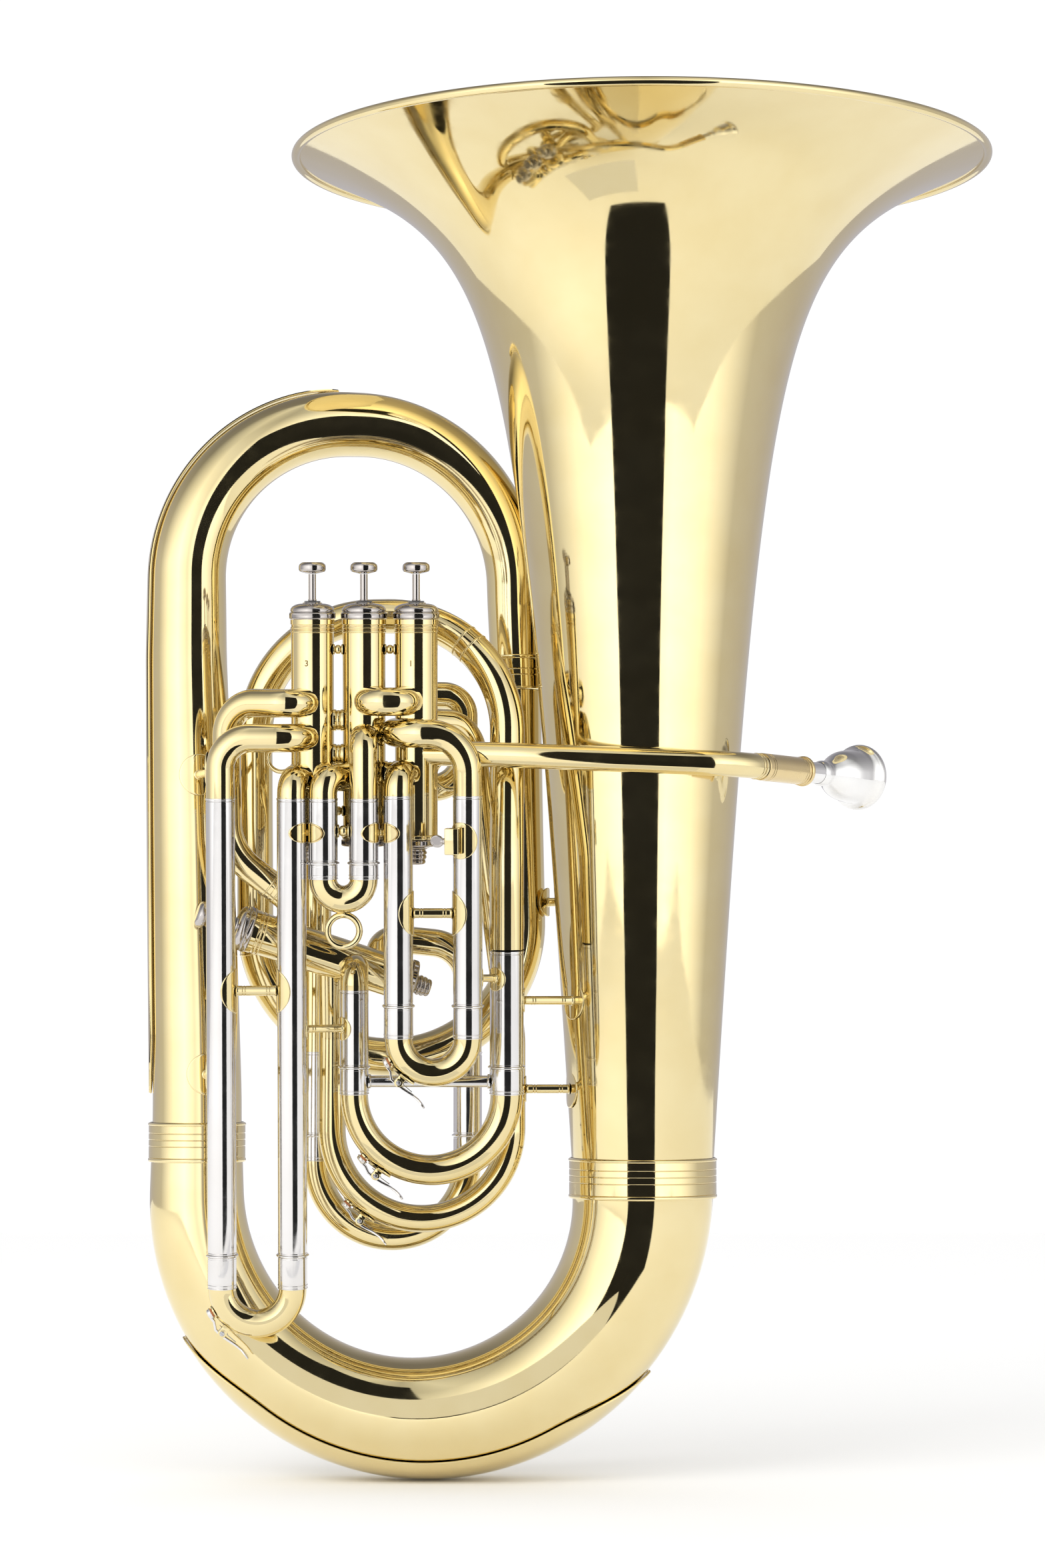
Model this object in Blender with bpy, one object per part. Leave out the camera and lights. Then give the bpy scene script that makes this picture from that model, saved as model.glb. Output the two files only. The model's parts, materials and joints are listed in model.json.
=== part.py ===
"""E-flat compensating tuba with three top valves and a fourth side valve.

Every length in this file is in millimetres; solid() turns it into metres.
X runs from the left branch to the bell, Y runs from the valve buttons' side to the back
and Z runs up the bell. The origin is the lowest point of the bottom bow.
"""

from math import atan2
from math import ceil
from math import cos
from math import exp
from math import pi
from math import radians
from math import sin
from math import tan

import bmesh
import bpy
from mathutils import Matrix
from mathutils import Vector

MM = 0.001
GAP = 0.3
TUBE_SIDES = 10
VALVE_SIDES = 12
ARC_STEP = radians(30)
WIDE_ARC_STEP = radians(18)

# Bell: throat at the ferrule, a slow cone, then two exponential flares to the rim.
BELL_X = 152.0
BELL_BOTTOM = 204.5
BELL_RIM = 905.0
BELL_RIM_RADIUS = 238.0
BELL_THROAT_RADIUS = 47.4
BELL_CONE = 0.060
SLOW_FLARE = 63.9
SLOW_FLARE_LENGTH = 130.0
FAST_FLARE_LENGTH = 36.0
BELL_WALL = 0.9
BELL_BEAD = 3.0

# Bottom bow and its two ferrules.
BOW_REACH = 152.0
BOW_CENTRE = 194.5
BOW_SMALL = 30.8
BOW_LARGE = 48.3
BOW_WALL = 1.0
LEFT_FERRULE = (215.3, 242.2)
BELL_FERRULE = (190.7, 218.1)
FERRULE_WALL = 1.8
GUARD_THICKNESS = 1.3
GUARD_CLEARANCE = 1.3

# Top bow, from the left ferrule over the top and down behind the bell.
TOP_BOW_HEIGHT = 724.0
TOP_BOW_BEND = 110.0
TOP_BOW_END = 552.2
TOP_BOW_SMALL = 17.4
TOP_FERRULE = (539.6, 564.0)

# Valve group, a block that leans towards the player about its pivot.
GROUP_LEAN = radians(6.0)
GROUP_PIVOT = Vector((0.0, -58.0, 430.0))
VALVE_BACK = -58.0
SLIDE_BACK = -86.0
VALVE_X = {1: -1.1, 2: -36.0, 3: -70.5}
CASING_BOTTOM = 433.0
CASING_LENGTH = 147.0
CASING_RADIUS = 14.3
CASING_BORE = 12.7
PISTON_RADIUS = 12.3
STEM_RADIUS = 2.5
PORT_RADIUS = 7.0
KNUCKLE_RADIUS = 6.4
STROKE = 18.0
SPRING_RADIUS = 8.4
SPRING_WIRE = 0.8
SPRING_TURNS = 5

# Fourth valve, lying across the back of the slides.
FOURTH_BOTTOM = Vector((-9.0, -17.4, 338.2))
FOURTH_BUTTON = Vector((-153.0, -48.0, 385.0))
FOURTH_CASING = 112.0

# Cylindrical tubing and the slides that run in it.
BRASS_RADIUS = 9.5
SLEEVE_RADIUS = 9.75
SLEEVE_BORE = 9.15
LEG_RADIUS = 8.75
LEG_BORE = 8.2
BOW_TUBE_RADIUS = 9.3
RING_EXTRA = 1.0
RING_WIDTH = 2.4
ELBOW_BEND = 10.4
WIDE_LEG = 1.7

# Main slide, a second block with its own lean.
MAIN_LEAN = radians(4.8)
MAIN_PIVOT = Vector((0.0, -44.0, 280.0))
MAIN_X = (-43.1, 59.4)

# Mouthpiece line.
RECEIVER_START = Vector((228.0, -84.0, 480.0))
MOUTH_DIRECTION = Vector((0.643, 0.766, -0.02)).normalized()
RECEIVER_LENGTH = 50.0
MOUTHPIECE_LENGTH = 98.0
SHANK_DEPTH = 18.0

LOOKS = {
    "lacquered_brass": ((0.86, 0.62, 0.20, 1.0), 0.12),
    "nickel_silver": ((0.74, 0.73, 0.70, 1.0), 0.16),
    "nickel_plate": ((0.62, 0.62, 0.63, 1.0), 0.14),
    "silver_plate": ((0.86, 0.86, 0.87, 1.0), 0.08),
    "spring_steel": ((0.55, 0.55, 0.56, 1.0), 0.25),
}


def clear_scene():
    """Start from an empty file."""
    for thing in list(bpy.data.objects):
        bpy.data.objects.remove(thing, do_unlink=True)


def look(name):
    """Return the metal called name, made on first use."""
    found = bpy.data.materials.get(name)
    if found:
        return found
    colour, roughness = LOOKS[name]
    made = bpy.data.materials.new(name)
    made.use_nodes = True
    shader = made.node_tree.nodes["Principled BSDF"]
    shader.inputs["Base Color"].default_value = colour
    shader.inputs["Metallic"].default_value = 1.0
    shader.inputs["Roughness"].default_value = roughness
    return made


def solid(name, shape, metal, origin=(0.0, 0.0, 0.0)):
    """Turn a bmesh in millimetres into an object whose origin is at the given point."""
    bmesh.ops.recalc_face_normals(shape, faces=shape.faces)
    shape.transform(Matrix.Scale(MM, 4) @ Matrix.Translation(-Vector(origin)))
    mesh = bpy.data.meshes.new(name)
    shape.to_mesh(mesh)
    shape.free()
    mesh.materials.append(look(metal))
    mesh.shade_smooth()
    mesh.set_sharp_from_angle(angle=radians(42))
    thing = bpy.data.objects.new(name, mesh)
    thing.location = Vector(origin) * MM
    bpy.context.scene.collection.objects.link(thing)
    return thing


def hide(thing):
    """Mark a cutter or a joined piece as a tool and not a part."""
    thing.hide_render = True
    thing.display_type = "WIRE"
    return thing


def combine(thing, tool, operation):
    """Add a Boolean to thing, with tool kept as a hidden guide."""
    step = thing.modifiers.new(tool.name, "BOOLEAN")
    step.operation = operation
    step.solver = "EXACT"
    step.object = hide(tool)
    return thing


# Frames -------------------------------------------------------------------------


def aimed(point, heading, across=(0.0, 1.0, 0.0)):
    """Return a frame at point whose Z is heading and whose X lies close to across."""
    forward = Vector(heading).normalized()
    guide = Vector(across).normalized()
    if abs(guide.dot(forward)) > 0.99:
        guide = guide.yzx
    side = (guide - forward * guide.dot(forward)).normalized()
    turn = Matrix((side, forward.cross(side), forward)).transposed()
    return Matrix.Translation(Vector(point)) @ turn.to_4x4()


def leaning(pivot, angle, x, back, up):
    """Return the place of a point that is given in an upright block leaning at its pivot."""
    offset = Vector((x, back, up)) - pivot
    return pivot + Matrix.Rotation(angle, 3, "X") @ offset


def group(x, back, up):
    """Return a place in the valve group."""
    return leaning(GROUP_PIVOT, GROUP_LEAN, x, back, up)


def main(x, up):
    """Return a place in the plane of the main slide."""
    return leaning(MAIN_PIVOT, MAIN_LEAN, x, MAIN_PIVOT.y, up)


GROUP_UP = Matrix.Rotation(GROUP_LEAN, 3, "X") @ Vector((0.0, 0.0, 1.0))
MAIN_UP = Matrix.Rotation(MAIN_LEAN, 3, "X") @ Vector((0.0, 0.0, 1.0))


class Route:
    """Straight runs joined by arcs, with a frame at any length along them."""

    def __init__(self, corners, bends, across=(0.0, 1.0, 0.0)):
        points = [Vector(point) for point in corners]
        self.spans = []
        self.length = 0.0
        self.frame_now = aimed(points[0], points[1] - points[0], across)
        for before, corner, after, bend in zip(points, points[1:], points[2:], bends):
            incoming = (corner - before).normalized()
            outgoing = (after - corner).normalized()
            turn = incoming.angle(outgoing)
            if turn < 0.0001:
                continue
            self.run(corner - incoming * bend * tan(turn / 2))
            self.arc(incoming.cross(outgoing).normalized(), bend, turn)
        self.run(points[-1])

    def run(self, end):
        """Add a straight run to a point."""
        length = (Vector(end) - self.frame_now.translation).length
        self.spans.append((self.length, length, self.frame_now.copy(), None, None, 0.0))
        self.frame_now = self.frame_now @ Matrix.Translation((0.0, 0.0, length))
        self.length += length

    def arc(self, axis, bend, turn):
        """Add an arc that turns about the axis."""
        heading = self.frame_now.col[2].xyz
        centre = self.frame_now.translation + axis.cross(heading) * bend
        self.spans.append((self.length, bend * turn, self.frame_now.copy(), centre, axis, turn))
        self.frame_now = self.turned(self.frame_now, centre, axis, turn)
        self.length += bend * turn

    @staticmethod
    def turned(frame, centre, axis, angle):
        """Return frame turned about an axis through centre."""
        shift = Matrix.Translation(centre)
        return shift @ Matrix.Rotation(angle, 4, axis) @ shift.inverted() @ frame

    def frame(self, along):
        """Return the frame at a length along the route."""
        start, length, frame, centre, axis, turn = self.spans[-1]
        for span in self.spans:
            if along <= span[0] + span[1] + 1e-6:
                start, length, frame, centre, axis, turn = span
                break
        if centre is None:
            return frame @ Matrix.Translation((0.0, 0.0, along - start))
        return self.turned(frame, centre, axis, turn * (along - start) / length)

    def marks(self, step, first, last):
        """Return the lengths at which a skin needs a ring between first and last."""
        found = {first, last}
        for start, length, frame, centre, axis, turn in self.spans:
            count = ceil(turn / step - 0.001) if turn else 1
            for index in range(count + 1):
                along = start + length * index / count
                if first + 0.05 < along < last - 0.05:
                    found.add(round(along, 4))
        return sorted(found)


# Shapes -------------------------------------------------------------------------


def sweep(rings, sides, closed):
    """Skin circles through (frame, radius) rings; closed joins the last to the first."""
    shape = bmesh.new()
    frame, radius = rings[0]
    bmesh.ops.create_circle(
        shape, cap_ends=not closed, segments=sides, radius=radius, matrix=frame
    )
    first = list(shape.edges)
    edges = first
    for (frame, radius), (next_frame, next_radius) in zip(rings, rings[1:]):
        made = bmesh.ops.extrude_edge_only(shape, edges=edges)["geom"]
        verts = [item for item in made if isinstance(item, bmesh.types.BMVert)]
        ring = set(verts)
        edges = [
            item for item in made
            if isinstance(item, bmesh.types.BMEdge) and ring.issuperset(item.verts)
        ]
        scale = next_radius / radius
        move = next_frame @ Matrix.Diagonal((scale, scale, 1.0, 1.0)) @ frame.inverted()
        bmesh.ops.transform(shape, matrix=move, verts=verts)
    if closed:
        bmesh.ops.bridge_loops(shape, edges=first + edges)
    else:
        bmesh.ops.contextual_create(shape, geom=edges)
    return shape


def turned(frame, profile, sides=VALVE_SIDES, closed=False):
    """Turn a profile of (height, radius) about the Z axis of frame."""
    rings = []
    for height, radius in profile:
        rings.append((frame @ Matrix.Translation((0.0, 0.0, height)), radius))
    return sweep(rings, sides, closed)


def stepped(marks, radius, collars):
    """Return (length, radius) rows with a square step at each collar's ends."""
    cuts = sorted(set(marks) | {edge for collar in collars for edge in collar[:2]})
    rows = []
    for along in cuts:
        before = sum(extra for start, end, extra in collars if start < along <= end)
        after = sum(extra for start, end, extra in collars if start <= along < end)
        if along > cuts[0]:
            rows.append((along, radius(along) + before))
        if along == cuts[0] or (before != after and along < cuts[-1]):
            rows.append((along, radius(along) + after))
    return rows


def tube(route, outer, wall, collars=(), sides=TUBE_SIDES, step=ARC_STEP, first=0.0, last=None):
    """Return a hollow tube along a route; outer is a radius or a function of length."""
    end = route.length if last is None else last
    radius = outer if callable(outer) else lambda along: outer
    marks = route.marks(step, first, end)
    skin = stepped(marks, radius, collars)
    bore = [(along, radius(along) - wall) for along in reversed(marks)]
    rings = [(route.frame(along), size) for along, size in skin + bore]
    return sweep(rings, sides, closed=True)


def rod(start, end, radius, sides=8, flare=None):
    """Return a straight solid rod, with wider feet when flare is given."""
    frame = aimed(start, Vector(end) - Vector(start), (0.1, 0.3, 1.0))
    length = (Vector(end) - Vector(start)).length
    if flare is None:
        return turned(frame, [(0.0, radius), (length, radius)], sides)
    foot = 1.4
    profile = [
        (0.0, flare),
        (foot, flare),
        (foot, radius),
        (length - foot, radius),
        (length - foot, flare),
        (length, flare),
    ]
    return turned(frame, profile, sides)


def box(frame, sizes):
    """Return a box centred on frame."""
    shape = bmesh.new()
    grow = Matrix.Diagonal((sizes[0], sizes[1], sizes[2], 1.0))
    bmesh.ops.create_cube(shape, size=1.0, matrix=frame @ grow)
    return shape


def shell_strip(route, radius, first, last, half_angle, step):
    """Return a curved plate that hugs the outward (-X of the frame) side of a tube."""
    columns = 7
    marks = route.marks(step, first, last)
    shape = bmesh.new()
    bmesh.ops.create_circle(shape, cap_ends=True, segments=2 * columns, radius=1.0)
    edges = list(shape.edges)
    ring = list(shape.verts)
    angles = [pi + half_angle * (2 * index / (columns - 1) - 1) for index in range(columns)]
    for number, along in enumerate(marks):
        if number:
            made = bmesh.ops.extrude_edge_only(shape, edges=edges)["geom"]
            grown = {item for item in made if isinstance(item, bmesh.types.BMVert)}
            edges = [
                item for item in made
                if isinstance(item, bmesh.types.BMEdge) and grown.issuperset(item.verts)
            ]
            ring = ordered(edges, ring, shape)
        inner = radius(along) + GUARD_CLEARANCE
        outer = inner + GUARD_THICKNESS
        path = [(outer, angle) for angle in angles] + [(inner, angle) for angle in reversed(angles)]
        frame = route.frame(along)
        for vert, (size, angle) in zip(ring, path):
            vert.co = frame @ Vector((size * cos(angle), size * sin(angle), 0.0))
    bmesh.ops.contextual_create(shape, geom=edges)
    return shape


def ordered(edges, previous, shape):
    """Return the new ring's corners in the order of the ring they were drawn from."""
    fresh = {vert for edge in edges for vert in edge.verts}
    return [
        next(edge.other_vert(vert) for edge in vert.link_edges if edge.other_vert(vert) in fresh)
        for vert in previous
    ]


# Bell and bows ------------------------------------------------------------------


def bell_radius(height):
    """Return the outer radius of the bell at a height."""
    below = height - BELL_RIM
    cone = BELL_THROAT_RADIUS + BELL_CONE * (height - BELL_BOTTOM)
    slow = SLOW_FLARE * exp(below / SLOW_FLARE_LENGTH)
    rest = BELL_RIM_RADIUS - BELL_THROAT_RADIUS - SLOW_FLARE - BELL_CONE * (BELL_RIM - BELL_BOTTOM)
    fast = rest * exp(below / FAST_FLARE_LENGTH)
    return cone + slow + fast


def bow_radius(along):
    """Return the outer radius of the bottom bow at a length from its small end."""
    share = along / BOTTOM_ROUTE.length
    return BOW_SMALL + (BOW_LARGE - BOW_SMALL) * share


def top_radius(along):
    """Return the outer radius of the top bow at a length from the left ferrule."""
    share = along / TOP_ROUTE.length
    return BOW_SMALL - 0.4 + (TOP_BOW_SMALL - BOW_SMALL + 0.4) * share ** 1.35


BOTTOM_ROUTE = Route(
    [
        (-BOW_REACH, 0.0, LEFT_FERRULE[0] + 13.0),
        (-BOW_REACH, 0.0, BOW_CENTRE - BOW_REACH),
        (BOW_REACH, 0.0, BOW_CENTRE - BOW_REACH),
        (BOW_REACH, 0.0, BELL_BOTTOM - GAP),
    ],
    [BOW_REACH, BOW_REACH - 0.01],
    across=(1.0, 0.0, 0.0),
)
TOP_ROUTE = Route(
    [
        (-BOW_REACH, 0.0, LEFT_FERRULE[0] + 13.0 + GAP),
        (-BOW_REACH, 0.0, 262.0),
        (-159.5, 0.0, 560.0),
        (-159.5, 0.0, TOP_BOW_HEIGHT),
        (62.5, 42.0, TOP_BOW_HEIGHT),
        (64.0, 47.0, 600.0),
        (65.5, 46.0, TOP_BOW_END),
    ],
    [400.0, 400.0, TOP_BOW_BEND, TOP_BOW_BEND, 60.0],
    across=(1.0, 0.0, 0.0),
)


def build_bell():
    """Build the bell and the ferrule at its throat."""
    steps = 14
    heights = []
    for index in range(steps):
        share = index / (steps - 1)
        heights.append(BELL_BOTTOM + (BELL_RIM - BELL_BOTTOM) * (1 - (1 - share) ** 2.0))
    outer = [(height, bell_radius(height)) for height in heights]
    inner = [(height, bell_radius(height) - BELL_WALL) for height in reversed(heights)]
    flange = 1.2
    bead = [
        (BELL_RIM - 1.5, BELL_RIM_RADIUS + 2.0),
        (BELL_RIM - 1.5, BELL_RIM_RADIUS + BELL_BEAD),
        (BELL_RIM + 1.0, BELL_RIM_RADIUS + BELL_BEAD + 0.6),
        (BELL_RIM + flange + 2.2, BELL_RIM_RADIUS + BELL_BEAD),
        (BELL_RIM + flange + 2.2, BELL_RIM_RADIUS - BELL_BEAD),
    ]
    axis = Matrix.Translation((BELL_X, 0.0, 0.0))
    solid("bell", turned(axis, outer + bead + inner, sides=32, closed=True), "lacquered_brass")
    low, high = BELL_FERRULE
    bore = bell_radius(high) + 2 * GAP
    profile = [
        (low, bore + FERRULE_WALL),
        (low + 5.0, bore + FERRULE_WALL),
        (low + 5.0, bore + FERRULE_WALL - 0.6),
        (high, bore + FERRULE_WALL - 0.6),
        (high, bore),
        (low, bore),
    ]
    solid("bell_ferrule", turned(axis, profile, sides=24, closed=True), "lacquered_brass")


def build_bottom_bow():
    """Build the bottom bow, its guard and the ferrule on its small end."""
    bow = tube(BOTTOM_ROUTE, bow_radius, BOW_WALL, sides=18, step=WIDE_ARC_STEP)
    solid("bottom_bow", bow, "lacquered_brass")
    straight = LEFT_FERRULE[0] + 13.0 - BOW_CENTRE
    quarter = BOW_REACH * pi / 2
    first = straight + quarter * 0.35
    last = straight + quarter * 1.58
    guard = shell_strip(BOTTOM_ROUTE, bow_radius, first, last, radians(48), WIDE_ARC_STEP)
    solid("bottom_guard", guard, "lacquered_brass")
    low, high = LEFT_FERRULE
    bore = BOW_SMALL + 2 * GAP + 0.4
    profile = [
        (low, bore + FERRULE_WALL),
        (high, bore + FERRULE_WALL),
        (high, bore),
        (low, bore),
    ]
    axis = Matrix.Translation((-BOW_REACH, 0.0, 0.0))
    solid("left_ferrule", turned(axis, profile, sides=20, closed=True), "lacquered_brass")


def build_top_bow():
    """Build the top bow with the left branch, its guard and its ferrule."""
    bow = tube(TOP_ROUTE, top_radius, BOW_WALL, sides=16, step=WIDE_ARC_STEP)
    solid("top_bow", bow, "lacquered_brass")
    last = 372.0 + TOP_BOW_BEND * pi / 2 * 1.05
    guard = shell_strip(TOP_ROUTE, top_radius, 34.0, last, radians(20), WIDE_ARC_STEP)
    solid("side_guard", guard, "lacquered_brass")
    frame = TOP_ROUTE.frame(TOP_ROUTE.length)
    bore = TOP_BOW_SMALL + 2 * GAP + 0.4
    half = (TOP_FERRULE[1] - TOP_FERRULE[0]) / 2
    profile = [(-half, bore + 1.2), (half, bore + 1.2), (half, bore), (-half, bore)]
    solid("top_bow_ferrule", turned(frame, profile, closed=True), "lacquered_brass")


def build_inner_branch():
    """Build the long loop from the main slide over and under the valves to the top bow."""
    end = TOP_ROUTE.frame(TOP_ROUTE.length)
    start = end @ Vector((0.0, 0.0, GAP))
    below = end @ Vector((0.0, 0.0, 50.0))
    corners = [
        start,
        below,
        (74.5, 34.0, 286.0),
        (-114.0, 27.0, 286.0),
        (-114.0, -2.0, 587.0),
        (60.0, -26.0, 587.0),
        main(MAIN_X[1], 420.0),
        main(MAIN_X[1], 359.6),
    ]
    route = Route(corners, [80.0, 92.0, 92.0, 84.0, 84.0, 60.0])
    large = TOP_BOW_SMALL
    small = SLEEVE_RADIUS + WIDE_LEG

    def radius(along):
        return small + (large - small) * exp(-along / 260.0)

    solid("inner_branch", tube(route, radius, 0.7), "lacquered_brass")


# Valves -------------------------------------------------------------------------


def build_valve(number, frame, length):
    """Build one piston valve on a frame at its casing's lower end, pointing to the button."""
    name = f"valve_{number}"
    origin = frame.translation
    casing = [
        (0.0, CASING_RADIUS + 0.6),
        (3.0, CASING_RADIUS + 0.6),
        (3.0, CASING_RADIUS),
        (length - 8.0, CASING_RADIUS),
        (length - 7.0, CASING_RADIUS + 0.5),
        (length, CASING_RADIUS + 0.5),
        (length, CASING_BORE),
        (0.0, CASING_BORE),
    ]
    body = solid(name + "_casing", turned(frame, casing, closed=True), "lacquered_brass")
    plug = CASING_BORE - GAP - 0.1
    top = length + GAP
    cap = [
        (length - 5.0, plug),
        (top, plug),
        (top, CASING_RADIUS + 0.8),
        (top + 4.0, CASING_RADIUS + 1.2),
        (top + 7.5, CASING_RADIUS + 0.6),
        (top + 11.0, CASING_RADIUS - 4.0),
        (top + 11.0, STEM_RADIUS + 0.5),
        (length - 5.0, STEM_RADIUS + 0.5),
    ]
    solid(name + "_top_cap", turned(frame, cap, closed=True), "nickel_plate")
    base = [
        (5.0, plug),
        (-GAP, plug),
        (-GAP, CASING_RADIUS + 1.2),
        (-6.0, CASING_RADIUS + 1.2),
        (-8.0, 7.0),
        (-17.0, 5.0),
    ]
    socket = [(-17.0, 1.2), (-3.0, 1.2), (-3.0, plug - 2.2), (5.0, plug - 2.2)]
    bottom = turned(frame, base + socket, closed=True)
    solid(name + "_bottom_cap", bottom, "nickel_plate")
    low = length - 110.0 if number != 4 else 30.0
    high = length - 24.0
    stem_top = top + 30.0
    piston = [
        (low, PISTON_RADIUS),
        (high, PISTON_RADIUS),
        (high + 1.0, 6.0),
        (high + 1.0, STEM_RADIUS),
        (stem_top, STEM_RADIUS),
    ]
    slider = solid(name + "_piston", turned(frame, piston), "nickel_silver", origin)
    for index, share in enumerate((0.3, 0.68)):
        middle = frame @ Vector((0.0, 0.0, low + (high - low) * share))
        reach = frame.to_3x3() @ Vector((16.0, 4.0 * (1 - 2 * index), 3.0))
        hole = rod(middle - reach, middle + reach, PORT_RADIUS)
        port = solid(f"{name}_port_{index}", hole, "nickel_silver")
        combine(slider, port, "DIFFERENCE")
    button = [
        (stem_top + GAP, 4.0),
        (stem_top + 1.6, 9.1),
        (stem_top + 5.6, 9.1),
        (stem_top + 7.4, 7.2),
        (stem_top + 8.0, 4.5),
    ]
    solid(name + "_button", turned(frame, button), "nickel_plate", origin)
    solid(name + "_spring", coil(frame, -3.0 + GAP, low - GAP), "spring_steel", origin)
    return body


def coil(frame, low, high):
    """Return the helical spring under a piston."""
    per_turn = 5
    count = SPRING_TURNS * per_turn
    bottom = low + SPRING_WIRE
    height = high - low - 2 * SPRING_WIRE
    points = []
    for index in range(count + 1):
        angle = 2 * pi * index / per_turn
        lift = bottom + height * index / count
        around = Vector((SPRING_RADIUS * cos(angle), SPRING_RADIUS * sin(angle), lift))
        points.append(frame @ around)
    rings = []
    for index, point in enumerate(points):
        ahead = points[min(index + 1, count)] - points[max(index - 1, 0)]
        outward = point - frame @ Vector((0.0, 0.0, bottom + height * index / count))
        rings.append((aimed(point, ahead, outward), SPRING_WIRE))
    return sweep(rings, 4, closed=False)


def casing_cutter(number, frame, length, thing):
    """Cut the end of a tube to the round of a casing, with the usual gap."""
    shape = turned(frame, [(-8.0, CASING_RADIUS + GAP), (length, CASING_RADIUS + GAP)], 24)
    combine(thing, solid(f"cope_{number}_{thing.name}", shape, "nickel_silver"), "DIFFERENCE")


VALVE_FRAMES = {}


def build_valves():
    """Build the three leaning valves and the fourth one across them."""
    for number, x in VALVE_X.items():
        frame = aimed(group(x, VALVE_BACK, CASING_BOTTOM), GROUP_UP)
        VALVE_FRAMES[number] = (frame, CASING_LENGTH)
    fourth = aimed(FOURTH_BOTTOM, FOURTH_BUTTON - FOURTH_BOTTOM)
    VALVE_FRAMES[4] = (fourth, FOURTH_CASING)
    for number, (frame, length) in VALVE_FRAMES.items():
        body = build_valve(number, frame, length)
        if number == 2:
            add_knuckles(body)


def add_knuckles(body):
    """Join the short knuckle tubes on both sides of the middle casing to it."""
    gap = CASING_RADIUS + GAP
    places = ((VALVE_X[3], 512.6), (VALVE_X[3], 489.5), (VALVE_X[1], 478.0))
    for index, (x, up) in enumerate(places):
        side = 1 if x > VALVE_X[2] else -1
        start = group(VALVE_X[2] + side * (CASING_RADIUS - 0.8), VALVE_BACK, up)
        end = group(x - side * gap, VALVE_BACK, up)
        short_tube = rod(start, end, KNUCKLE_RADIUS)
        combine(body, solid(f"knuckle_{index}", short_tube, "lacquered_brass"), "UNION")


def cope(thing, *numbers):
    """Fit the ends of a tube to one or more casings."""
    for number in numbers:
        frame, length = VALVE_FRAMES[number]
        casing_cutter(number, frame, length, thing)


# Slides -------------------------------------------------------------------------


def sleeve_shape(route, sleeve_length, extra=0.0):
    """Return a fixed slide tube whose first stretch is the thicker sleeve with its ring."""
    collars = [(0.0, sleeve_length, SLEEVE_RADIUS - BRASS_RADIUS), (0.0, RING_WIDTH, RING_EXTRA)]
    wall = BRASS_RADIUS - SLEEVE_BORE
    return tube(route, BRASS_RADIUS + extra, wall, collars)


def slide_shape(place, left, right, ring, ferrule, depth, extra=(0.0, 0.0)):
    """Return a U slide: leg, ferrule collar, bow, collar and leg."""
    half = (right - left) / 2
    bottom = ferrule - half
    corners = [
        place(left, ring + depth),
        place(left, bottom),
        place(right, bottom),
        place(right, ring + depth),
    ]
    across = place(right, ring) - place(left, ring)
    route = Route(corners, [half, half - 0.01], across)
    leg = depth + GAP
    collar = ring - ferrule - GAP
    near = LEG_RADIUS + extra[0]
    far = LEG_RADIUS + extra[1]

    def radius(along):
        return near + (far - near) * along / route.length

    def smooth(along):
        share = (along - leg - collar) / (route.length - 2 * leg - 2 * collar)
        return near + (far - near) * min(1.0, max(0.0, share))

    end = route.length
    bow = BOW_TUBE_RADIUS - LEG_RADIUS
    lip = SLEEVE_RADIUS - BOW_TUBE_RADIUS
    collars = [
        (leg, end - leg, bow),
        (leg, leg + collar, lip),
        (end - leg - collar, end - leg, lip),
    ]
    return tube(route, smooth, LEG_RADIUS - LEG_BORE, collars)


def in_group(x, up):
    """Return a place in the plane of the three front slides."""
    return group(x, SLIDE_BACK, up)


def straight_up(back):
    """Return a placing function for an upright slide plane."""
    return lambda x, up: Vector((x, back, up))


SLIDES = {
    "slide_1": (in_group, -12.5, 33.6, 322.6, 302.0, 130.0),
    "slide_2": (in_group, -62.4, -35.4, 417.8, 408.0, 38.0),
    "slide_3": (in_group, -130.5, -83.3, 155.9, 134.5, 290.0),
    "main_slide": (main, MAIN_X[0], MAIN_X[1], 279.4, 262.0, 48.0),
    "slide_4": (straight_up(5.0), -70.5, 32.5, 232.0, 215.5, 52.0),
}


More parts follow.
